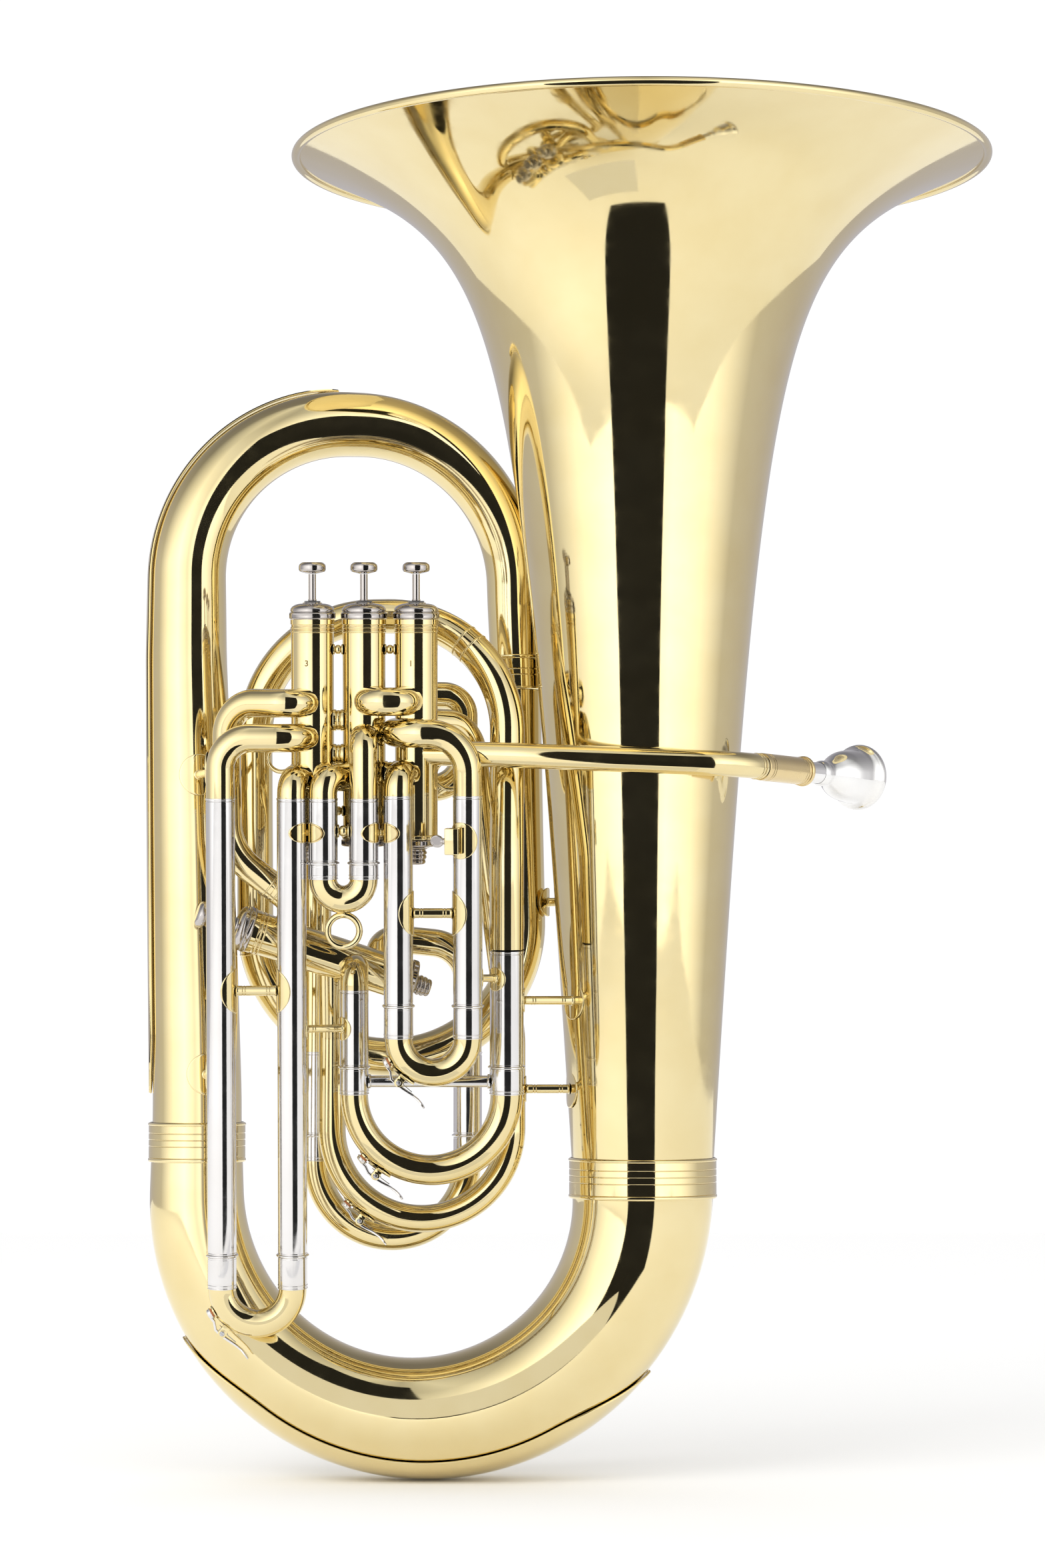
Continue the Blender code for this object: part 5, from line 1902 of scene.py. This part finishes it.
@dataclass
class WaterKey:
    """A water key on a bow: nipple, cheeks and pin, and the lever that rocks on it."""

    bow: Slide
    angle: float
    body: str
    extra: float = 0.0
    pivot: float = 5.0
    cork_step: float = 13.0
    tip_reach: float = 24.0

    @property
    def size(self) -> float:
        """Radius of the bow's outer side."""
        return self.bow.half + SIZES.bow + self.extra

    @property
    def frame(self) -> Matrix:
        """The frame at the key's foot: X along the bow, Z out of it."""
        middle, low = (self.bow.left + self.bow.right) / 2, self.bow.ferrule
        place, turn = self.bow.place, radians(self.angle)
        foot = place(middle + self.size * cos(turn), low + self.size * sin(turn))
        centre = place(middle, low)
        depth = (place(middle + 1, low) - centre).cross(place(middle, low + 1) - centre)
        outward = (foot - centre).normalized()
        rows = Matrix((depth.cross(outward), -depth, outward))
        return Matrix.Translation(foot) @ rows.transposed().to_4x4()

    @property
    def sag(self) -> float:
        """How far the bow curves away from the foot's plane at the cork."""
        return self.cork_step**2 / (2 * self.size)

    def tilted(self) -> Matrix:
        """Give the frame at the nipple, square to the bow there."""
        tilt = Matrix.Rotation(-self.cork_step / self.size, 4, "Y")
        return moved(self.frame, -self.cork_step, 0.0, -self.sag) @ tilt

    def hinge(self, shift: float = 0.0) -> Matrix:
        """Give a frame along the pivot, shifted to one side."""
        return round_off(moved(self.frame, 0.0, shift, self.pivot))

    def seat(self) -> list[BMesh]:
        """Make the base plate, the two cheeks and the nipple, all fixed to the bow."""
        shapes = []
        frame = self.frame
        plate = bmesh.new()
        bmesh.ops.create_grid(plate, x_segments=24, y_segments=20, size=1.0)
        for vert in plate.verts:
            x, y = vert.co.x, vert.co.y
            narrow = 1.0 - 0.42 * abs(x) ** 2.6
            around = y * narrow * 0.62
            along = x * 8.6 / self.size
            out = SIZES.bow + 0.75 + self.extra
            ring = self.size - SIZES.bow - self.extra + out * cos(around)
            x, y, z = ring * sin(along), out * sin(around), ring * cos(along) - self.size
            vert.co = frame @ Vector((x, y, z))
        bmesh.ops.recalc_face_normals(plate, faces=plate.faces[:])
        bmesh.ops.solidify(plate, geom=plate.faces[:], thickness=0.9)
        shapes.append(plate)
        for side in (-1, 1):
            outline = Profile(-0.7, 0.05).to(-0.7, 2.6).out(-0.4, 2.9, 3)
            outline.up(0.8).over(0.7, 2.6, 3).to(0.7, 0.05)
            shapes.append(lathe(self.hinge(3.55 * side), outline.points, 32))
            shapes.append(block(moved(frame, 0.0, 3.55 * side, 2.1), (5.2, 1.3, 5.6), 0.35))
        nipple = Profile(-0.8, 4.9).to(0.1, 4.9).out(0.7, 3.2, 4)
        nipple.to(0.78, 3.0).to(0.78, 1.7).to(-0.8, 1.7)
        shapes.append(lathe(self.tilted(), nipple.points, 40, closed=True))
        return shapes

    def screw(self) -> BMesh:
        """Turn the pivot screw and cut the slot in its head."""
        axis = self.hinge()
        outline = Profile(-5.0, 0.05).to(-5.0, 0.7).to(4.3, 0.7).to(4.3, 1.75)
        outline.to(4.9, 1.75).over(5.5, 0.9, 4).to(5.6, 0.05)
        shape = lathe(axis, outline.points, 32)
        slot = block(moved(axis, 0.0, 0.0, 5.4), (6.0, 0.5, 1.0), 0.05)
        return carved(shape, [slot])

    def lever(self) -> list[BMesh]:
        """Make the barrel, the cup over the cork, the arms and the finger plate."""
        frame = self.frame
        barrel = Profile(-2.6, 1.0).to(-2.6, 2.0).out(-2.3, 2.3, 3).up(4.6)
        barrel.over(2.6, 2.0, 3).to(2.6, 1.0)
        shapes = [lathe(self.hinge(), barrel.points, 40, closed=True)]
        cup = Profile(1.6, 3.2).to(1.6, 3.7).bead(1.0, 0.45, 5).to(3.2, 3.7)
        cup.over(4.6, 2.1, 5).to(4.8, 0.05)
        shapes.append(lathe(self.tilted(), [*cup.points, (1.75, 0.05)], 44, closed=True))
        crown = frame.inverted() @ self.tilted() @ Vector((0.0, 0.0, 4.0))
        rows = [
            (crown.x, crown.z, 2.3, 0.9), (-self.cork_step + 4.0, 5.2 - self.sag, 2.1, 0.85),
            (-5.0, 6.3, 1.9, 0.85), (0.0, 6.9, 2.0, 0.9), (5.0, 6.8, 1.8, 0.85),
            (12.0, 6.2, 1.8, 0.8), (17.0, 6.3, 2.2, 0.75), (20.0, 6.9, 3.3, 0.7),
            (22.6, 7.7, 3.7, 0.65), (self.tip_reach, 8.3, 2.9, 0.55),
        ]
        points = [frame @ Vector((x, 0.0, z)) for x, z, *_ in rows]
        across = frame.col[1].xyz
        rings: list[Ring] = []
        for index, (*_, wide, thick) in enumerate(rows):
            heading = points[min(index + 1, len(rows) - 1)] - points[max(index - 1, 0)]
            rings.append((aimed(points[index], heading, across), (wide, thick)))
        shapes.append(sweep(rings, 24, False, Section.BAR).shape)
        return shapes

    def spring(self) -> BMesh:
        """Bend the wire spring round the barrel."""
        frame = self.frame
        path = [(11.0, 4.9), (4.0, 4.6)]
        for index in range(15):
            angle = radians(-60 - 24 * index)
            path.append((2.75 * cos(angle), self.pivot + 2.75 * sin(angle)))
        points = [frame @ Vector((x, 1.2, z)) for x, z in [*path, (-4.6, 2.4)]]
        return wire(points, 0.28, frame.col[1].xyz, 8)

    def build(self, stem: str) -> None:
        """Make the key's pieces.

        Args:
            stem: How the names of the key's pieces, body and CAD node begin.
        """
        key_body = f"{stem}_key_body"
        stopper = Profile(0.86, 0.05).to(0.86, 2.7).out(1.2, 3.0, 3).to(2.0, 3.0)
        cork = lathe(self.tilted(), [*stopper.points, (2.0, 0.05)], 36)
        lever, steel = joined(self.lever()), Finish.SPRING_STEEL
        for piece, shape, node, finish, body in (
            ("seat", joined(self.seat()), "", Finish.BRASS, self.body),
            ("screw", self.screw(), "", steel, self.body),
            ("spring", self.spring(), "", steel, self.body),
            ("lever", lever, f"{stem}_water_key", Finish.NICKEL_SILVER, key_body),
            ("cork", cork, "", Finish.CORK, key_body),
        ):
            make_piece(f"{stem}_key_{piece}", shape, node, finish, body)


# Mouthpiece line and small fittings


@dataclass
class MouthpieceLine:
    """The leadpipe round the bell, its receiver and the mouthpiece."""

    block: ValveBlock
    start: Vector = Vector((228.0, -84.0, 480.0)).freeze()
    heading: Vector = Vector((0.643, 0.766, -0.02)).normalized().freeze()
    seat: float = 32.0
    radius: float = 8.4

    @property
    def route(self) -> Route:
        """The leadpipe's centre line."""
        corners = [
            group(0.0, -62.5, 491.0), (60.0, -79.0, 488.0), self.start - self.heading * 30.0,
            self.start - self.heading * GAP,
        ]
        return Route(corners, [80.0, 44.0])

    def receiver(self) -> BMesh:
        """Turn the receiver: a satin sleeve with two lines and a heavy bead."""
        outline = Profile(0.0, 8.8).to(0.5, 9.1).to(4.0, 9.2)
        outline.groove(1.0, 0.3).up(1.2).groove(1.0, 0.3)
        outline.to(41.0, 9.2).groove(0.8, 0.2).to(44.0, 9.2).bead(2.0, 0.5, 6).to(46.3, 9.2)
        outline.bead(3.4, 1.05, 10).to(50.0, 9.0).to(50.0, 7.6).to(49.0, 7.3).to(0.0, 6.4)
        return lathe(aimed(self.start, self.heading), outline.points, 72, closed=True)

    def mouthpiece(self) -> BMesh:
        """Turn the mouthpiece: shank, throat ring, cup and rim, with its cup and bore."""
        outside = [
            (0.0, 6.1), (44.0, 7.15), (47.0, 7.4), (49.0, 8.2), (52.0, 8.75), (55.0, 8.0),
            (58.0, 8.0), (63.0, 10.7), (68.5, 14.4), (74.0, 16.6), (82.0, 17.9), (88.0, 18.7),
            (90.8, 20.3), (92.6, 21.9), (94.6, 22.45), (96.6, 22.1), (97.7, 20.8), (98.0, 19.2),
            (97.6, 17.4), (95.6, 16.3),
        ]
        inside = [
            (95.6, 16.3), (90.0, 15.9), (82.0, 15.0), (74.0, 12.1), (68.0, 7.4), (64.0, 4.4),
            (58.0, 3.9), (0.0, 5.3),
        ]
        outline = smooth(outside, 5) + smooth(inside, 5)[1:]
        place = moved(aimed(self.start, self.heading), 0.0, 0.0, 50.0 - self.seat)
        return lathe(place, outline, 96, closed=True)

    def build(self) -> None:
        """Make the line's pieces."""
        rings = Profile().bead(1.2, 0.45).up(1.4).bead(1.2, 0.45)
        route = self.route
        tube = Tube(
            route, self.radius, 0.6, 56, collars=[collar(route.length - 5.5, rings)],
            start_on=self.block.casing(1), step=radians(2.5),
        )
        make_piece("leadpipe_drawn", tube.shape(), "leadpipe")
        satin, silver, body = Finish.SATIN_BRASS, Finish.SILVER_PLATE, Body.MOUTHPIECE.value
        make_piece("receiver_turned", self.receiver(), "mouthpiece_receiver", satin)
        make_piece("mouthpiece_turned", self.mouthpiece(), "mouthpiece", silver, body)


@dataclass
class LyreSocket:
    """The square lyre socket on the first slide's tube, and its thumbscrew."""

    middle: Vector = group(23.6, SLIDE_BACK - 13.75, 434.0).freeze()
    tube: Vector = front(33.6, 434.0).freeze()

    @property
    def frame(self) -> Matrix:
        """The socket's frame, leaning with the valves."""
        return VALVE_GROUP.frame(self.middle) @ Matrix.Rotation(-0.15, 4, "Z")

    def socket(self) -> BMesh:
        """Make the block with its slot, its screw's boss and the plate behind it."""
        frame = self.frame
        body = block(frame, (9.2, 9.0, 17.5), 0.7)
        slot = block(moved(frame, 0.8, 0.0, 0.0), (5.4, 5.4, 30.0), 0.3)
        boss_axis = aimed(frame @ Vector((-3.9, 0.0, 0.0)), frame.to_3x3() @ -RIGHT, UP)
        thread = lathe(boss_axis, [(-1.6, 1.6), (4.0, 1.6)], 32)
        shape = carved(body, [slot, thread])
        place = on_tube(self.tube, VALVE_GROUP.up, Vector((-0.6, -1.0, 0.0)))
        return joined([shape, saddle(place, SIZES.sleeve, 12.2)])

    def screw(self) -> BMesh:
        """Turn the thumbscrew with its flat disc head."""
        frame = self.frame
        axis = aimed(frame @ Vector((-1.8, 0.0, 0.0)), frame.to_3x3() @ -RIGHT, UP)
        outline = Profile(0.0, 0.4).to(0.6, 1.35).to(3.2, 1.35).to(3.3, 2.2)
        outline.over(4.4, 1.5, 4).to(6.0, 1.2)
        turned = Matrix.Rotation(pi / 2 + 0.4, 4, "X")
        paddle = moved(frame, -10.2, 0.0, 0.0) @ turned
        disc = Profile(-0.8, 0.05).to(-0.8, 3.9).out(-0.2, 4.5, 4)
        disc.up(0.4).over(0.8, 3.9, 4).to(0.6, 3.2).to(0.6, 0.05)
        return joined([lathe(axis, outline.points, 40), lathe(paddle, disc.points, 64)])

    def build(self) -> None:
        """Make the socket and its screw."""
        make_piece("lyre_socket_milled", self.socket(), "lyre_socket")
        plate, body = Finish.NICKEL_PLATE, Body.LYRE_SCREW.value
        make_piece("lyre_thumbscrew", self.screw(), "lyre_screw", plate, body)


# Braces


@dataclass(frozen=True)
class Foot:
    """A place on a tube where a brace stands: its axis point, direction and radius."""

    point: Vector
    along: Vector
    radius: float

    def saddle(self, heading: Vector, size: float) -> BMesh:
        """Make the round plate there that faces a heading."""
        return saddle(on_tube(self.point, self.along, heading), self.radius, size)


@dataclass
class Braces:
    """The rods, saddles and rings that hold the tubes to each other."""

    bell: Bell
    outer: OuterBranch
    work: SlideWork
    light: Pair = (8.0, 2.6)

    def between(self, start: Foot, end: Foot, sizes: Pair = (15.0, 3.35)) -> BMesh:
        """Tie two tubes with a rod between saddles.

        Args:
            start: Where the rod meets the first tube.
            end: Where it meets the second.
            sizes: Radius of the saddles, and of the rod.

        Returns:
            The brace's shape.
        """
        plate, rod = sizes
        heading = (end.point - start.point).normalized()
        near = start.point + heading * (start.radius + 0.4)
        far = end.point - heading * (end.radius + 0.4)
        plates = [start.saddle(heading, plate), end.saddle(-heading, plate)]
        return joined([*plates, strut(near, far, rod)])

    def to_bell(self, tube: Foot, height: float, aside: Pair, plates: Pair) -> list[BMesh]:
        """Tie a tube to the bell.

        Args:
            tube: Where the rod meets the tube.
            height: Height of its foot on the bell.
            aside: The direction from the bell's axis to the foot, in plan.
            plates: Radii of the saddles on the bell and on the tube.

        Returns:
            The tie's shapes.
        """
        skin = self.bell.radius(height)
        turn = atan2(aside[1], aside[0])
        out = Vector((cos(turn), sin(turn), 0.0))
        centre = Vector((self.bell.axis_x, 0.0, height))
        foot = centre + out * (skin + 0.4)
        heading = (foot - tube.point).normalized()
        return [
            saddle(on_tube(centre, UP, out), skin, plates[0]), tube.saddle(heading, plates[1]),
            strut(tube.point + heading * (tube.radius + 0.4), foot, 3.0),
        ]

    def slide_braces(self) -> list[BMesh]:
        """Tie the two sleeves of the first, the second and the third slide."""
        up, sleeve = VALVE_GROUP.up, SIZES.sleeve
        shapes = []
        for name, height in (("slide_3", 333.7), ("slide_1", 385.4)):
            slide = self.work.slides[name]
            ends = [Foot(front(x, height), up, sleeve) for x in (slide.left, slide.right)]
            shapes.append(self.between(*ends))
        slide = self.work.slides["slide_2"]
        start, end = front(slide.left, 440.0), front(slide.right, 440.0)
        heading = (end - start).normalized()
        return [*shapes, baluster(start + heading * sleeve, end - heading * sleeve, 4.4)]

    def group_braces(self) -> list[BMesh]:
        """Tie the slides' sleeves to their neighbours, front to back and side to side."""
        up, main_up, sleeve = VALVE_GROUP.up, MAIN_GROUP.up, SIZES.sleeve
        shapes = [
            self.between(
                Foot(front(33.6, 342.0), up, sleeve),
                Foot(main_plane(59.4, 340.0), main_up, sleeve + WIDER_LEG), self.light,
            ),
            self.between(
                Foot(front(-83.3, 308.0), up, sleeve),
                Foot(main_plane(-43.1, 306.5), main_up, sleeve), self.light,
            ),
        ]
        for x, other in ((-83.3, -62.4), (-35.4, -12.5)):
            start, end = front(x, 439.0), front(other, 439.0)
            heading = (end - start).normalized()
            gap = (end - start).length - 2 * sleeve
            if gap > 0.6:
                shapes.append(baluster(start + heading * sleeve, end - heading * sleeve, 3.2))
            lean = VALVE_GROUP.turn @ FRONT * 0.55
            for tube, side in ((start, heading), (end, -heading)):
                shapes.append(saddle(on_tube(tube, up, side + lean), sleeve, 6.8, wide=1.75))
        route = self.outer.route
        for height, radius in ((481.0, SIZES.brass), (277.0, sleeve)):
            tube = front(-130.5, height)
            along = tube.z - route.frame(0.0).translation.z
            skin = self.outer.radius(along) + 1.6
            spot = Foot(route.frame(along).translation, route.heading(along), skin)
            shapes.append(self.between(spot, Foot(tube, up, radius), (14.0, 2.8)))
        return shapes

    def bell_ties(self) -> dict[str, BMesh]:
        """Tie the main slide's sleeve and the fourth valve's branch to the bell."""
        sleeve = Foot(main_plane(59.4, 325.0), MAIN_GROUP.up, SIZES.sleeve + WIDER_LEG)
        branch = Foot(Vector((62.7, -15.0, 265.0)), UP, SIZES.bow)
        return {
            "bell_brace_upper": joined(self.to_bell(sleeve, 325.0, (-46.0, -26.0), (13.0, 9.0))),
            "bell_brace_lower": joined(self.to_bell(branch, 265.0, (-50.0, -13.0), (13.0, 9.0))),
        }

    def rear_ties(self) -> BMesh:
        """Tie the inner branch and the top bow's ferrule to the bell, behind the valves."""
        branch = Foot(Vector((73.8, 39.0, 393.0)), UP, 14.4)
        bow = Foot(Vector((64.5, 46.0, 590.0)), UP, 17.8)
        plates = (12.0, 10.0)
        shapes = self.to_bell(branch, 393.0, (-52.0, 30.0), plates)
        return joined(shapes + self.to_bell(bow, 590.0, (-62.0, 46.0), plates))

    def hooks(self) -> BMesh:
        """Make the thumb ring and the strap ring at the sides of the valves."""
        shapes = []
        for x, up_at, size in ((-91.5, 487.0, 9.0), (21.0, 476.0, 9.5)):
            centre = round_off(VALVE_GROUP.frame(group(x, -56.0, up_at)))
            shapes.append(hoop(centre, size, 1.5, 56))
        return joined(shapes)

    def build(self) -> None:
        """Make every brace."""
        shape = joined(self.slide_braces() + self.group_braces())
        make_piece("tube_braces", shape)
        for node, tie in self.bell_ties().items():
            make_piece(f"{node}_dressed", tie, node)
        make_piece("rear_bell_ties", self.rear_ties())
        make_piece("side_rings", self.hooks())


# Studio


def sheet_of(name: str, half: Pair, cells: int) -> Thing:
    """Lay a flat sheet that belongs to the studio.

    Args:
        name: Its name.
        half: Its half width and half depth in metres.
        cells: Cells along each side.

    Returns:
        The sheet.
    """
    shape = bmesh.new()
    bmesh.ops.create_grid(shape, x_segments=cells, y_segments=cells, size=1.0)
    shape.transform(Matrix.Diagonal((*half, 1.0, 1.0)))
    thing = linked(name, poured(name, shape))
    thing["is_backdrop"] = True
    return thing


@dataclass
class Studio:
    """The pale floor, the soft surroundings, the dark card, the lamp and the camera."""

    eye: Colour = (0.070, -2.760, 0.3207)
    pitch: float = 93.16
    lens: float = 92.6
    sensor: float = 36.0
    stops: tuple[tuple[float, Colour], ...] = (
        (0.0, (1.25, 1.25, 1.25)), (0.15, (2.0, 2.0, 1.98)), (0.34, (1.42, 1.42, 1.41)),
        (0.52, (0.66, 0.65, 0.66)), (0.75, (0.55, 0.535, 0.565)), (1.0, (0.50, 0.485, 0.52)),
    )
    overhead: tuple[float, float, float, float] = (0.22, 0.8, 1.0, 0.42)
    backdrop: float = 1.07

    def floor(self) -> None:
        """Lay the pale floor."""
        thing = sheet_of("studio_floor", (3.0, 3.0), 4)
        paper = Shader("studio_paper")
        fibre = paper.noise(900.0, 6.0)
        shades = (0.93, 0.93, 0.93), (0.96, 0.96, 0.955)
        pale = paper.mix(paper.span(fibre, (0.3, 0.7)), *shades)
        relief = paper.bump(fibre, 0.0001, 0.1)
        paper.dress({"Base Color": pale, "Roughness": 0.85, "Normal": relief})
        thing.data.materials.append(paper.material)

    def card(self, name: str, place: Matrix, half: Pair, shade: float) -> None:
        """Hang a card that only reflections see.

        Args:
            name: Its name.
            place: The frame at its middle.
            half: Its half width and half height in metres.
            shade: Its brightness.
        """
        thing = sheet_of(name, half, 1)
        thing.data.transform(place)
        material = bpy.data.materials.new(name)
        material.use_nodes = True
        nodes = Nodes(material.node_tree)
        nodes.tree.nodes.clear()
        glow = nodes.node("Emission", {"Color": (shade, shade, shade * 1.02, 1.0)})
        nodes.node("OutputMaterial", {"Surface": glow.outputs[0]})
        thing.data.materials.append(material)
        for ray in ("camera", "diffuse", "shadow", "transmission", "volume_scatter"):
            setattr(thing, f"visible_{ray}", False)

    def surroundings(self) -> None:
        """Surround the tuba with soft light, brightest from the front, on a plain backdrop."""
        world = bpy.data.worlds.new("studio")
        bpy.context.scene.world = world
        world.use_nodes = True
        nodes = Nodes(world.node_tree)
        nodes.tree.nodes.clear()

        def sum_of(operation: str, *terms: object) -> Socket:
            feeds = dict(enumerate(terms))
            return nodes.node("Math", feeds, operation=operation).outputs[0]

        where = nodes.node("TexCoord").outputs["Generated"]
        split = nodes.node("SeparateXYZ", {0: where}).outputs
        turn = sum_of("ARCTAN2", split["X"], sum_of("MULTIPLY", split["Y"], -1.0))
        share = sum_of("DIVIDE", sum_of("ABSOLUTE", turn), pi)
        ramp = nodes.node("ValToRGB", {0: share})
        marks = ramp.color_ramp.elements
        while len(marks) < len(self.stops):
            marks.new(0.5)
        for mark, (position, shade) in zip(marks, self.stops):
            mark.position = position
            mark.color = (*shade, 1.0)
        feeds = dict(enumerate((split["Z"], *self.overhead)))
        overhead = nodes.node("MapRange", feeds, clamp=True).outputs[0]
        soft = nodes.node("Background", {"Color": ramp.outputs["Color"], "Strength": overhead})
        white = {"Color": (1.0, 1.0, 1.0, 1.0), "Strength": self.backdrop}
        plain = nodes.node("Background", white)
        rays = nodes.node("LightPath").outputs
        direct = sum_of("MAXIMUM", rays["Is Camera Ray"], rays["Is Diffuse Ray"])
        both = nodes.node("MixShader", {0: direct, 1: soft.outputs[0], 2: plain.outputs[0]})
        nodes.node("OutputWorld", {"Surface": both.outputs[0]})

    def lamp(self) -> None:
        """Hang one large soft lamp above and in front, to the left."""
        light = bpy.data.lights.new("soft_box", "AREA")
        light.shape = "RECTANGLE"
        light.size, light.size_y = 1.2, 1.6
        light.energy = 22.0
        light.color = (1.0, 0.985, 0.96)
        thing = linked("soft_box", light)
        stand = Vector((-1.5, -1.7, 1.9))
        thing.matrix_world = aimed(stand, stand - Vector((0.0, 0.0, 0.45)), UP)
        thing.visible_camera = thing.visible_glossy = False

    def camera(self) -> None:
        """Stand the camera in front of the valve side."""
        lens = bpy.data.cameras.new("front_view")
        lens.lens, lens.sensor_width = self.lens, self.sensor
        lens.clip_start, lens.clip_end = 0.05, 20.0
        thing = linked("front_view", lens)
        thing.location = self.eye
        thing.rotation_euler = (radians(self.pitch), 0.0, 0.0)
        bpy.context.scene.camera = thing

    def build(self) -> None:
        """Set up the studio."""
        self.floor()
        middle = round_off(Matrix.Translation((0.115, -0.45, 0.49)))
        self.card("dark_card", middle, (0.17, 0.44), 0.02)
        board = aimed(Vector((-0.02, -0.24, 0.0925)), Vector((0.0, -0.065, 0.24)), RIGHT)
        self.card("bounce_board", board, (0.145, 0.124), 0.86)
        self.surroundings()
        self.lamp()
        self.camera()
        bpy.context.scene.view_settings.view_transform = "Standard"
        bpy.context.scene.view_settings.look = "None"


def note_sizes() -> None:
    """Gather the two bounding boxes, of the CAD and of the finished scene, side by side."""
    boxes = {"cad": CAD_BOX, "scene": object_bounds()}
    plain = {
        name: [[float(value) for value in corner] for corner in box] for name, box in boxes.items()
    }


def main() -> None:
    """Build every sub-assembly, then the studio."""
    logging.basicConfig(level=logging.INFO, format="%(name)s: %(message)s")
    bell = Bell()
    outer = OuterBranch()
    block = ValveBlock()
    work = SlideWork(block)
    slides = work.slides
    branch = Slide("fourth_valve_branch", branch_plane, -59.3, 62.7, 238.3, 238.3, 0.0)
    keys = {
        "slide_1": WaterKey(slides["slide_1"], 232.0, "slide_1_body"),
        "slide_3": WaterKey(slides["slide_3"], 232.0, "slide_3_body"),
        "main_slide": WaterKey(slides["main_slide"], 236.0, "main_slide_body", 0.5),
        "fourth_valve_branch": WaterKey(branch, 236.0, Body.TUBA.value),
    }
    for assembly in (bell, BottomBow(), outer, InnerBranch(outer), block, work, FixedTubes(block)):
        assembly.build()
    for stem, key in keys.items():
        key.build(stem)
    for assembly in (MouthpieceLine(block), LyreSocket(), Braces(bell, outer, work), Studio()):
        assembly.build()
    note_sizes()


if __name__ == "__main__":
    main()
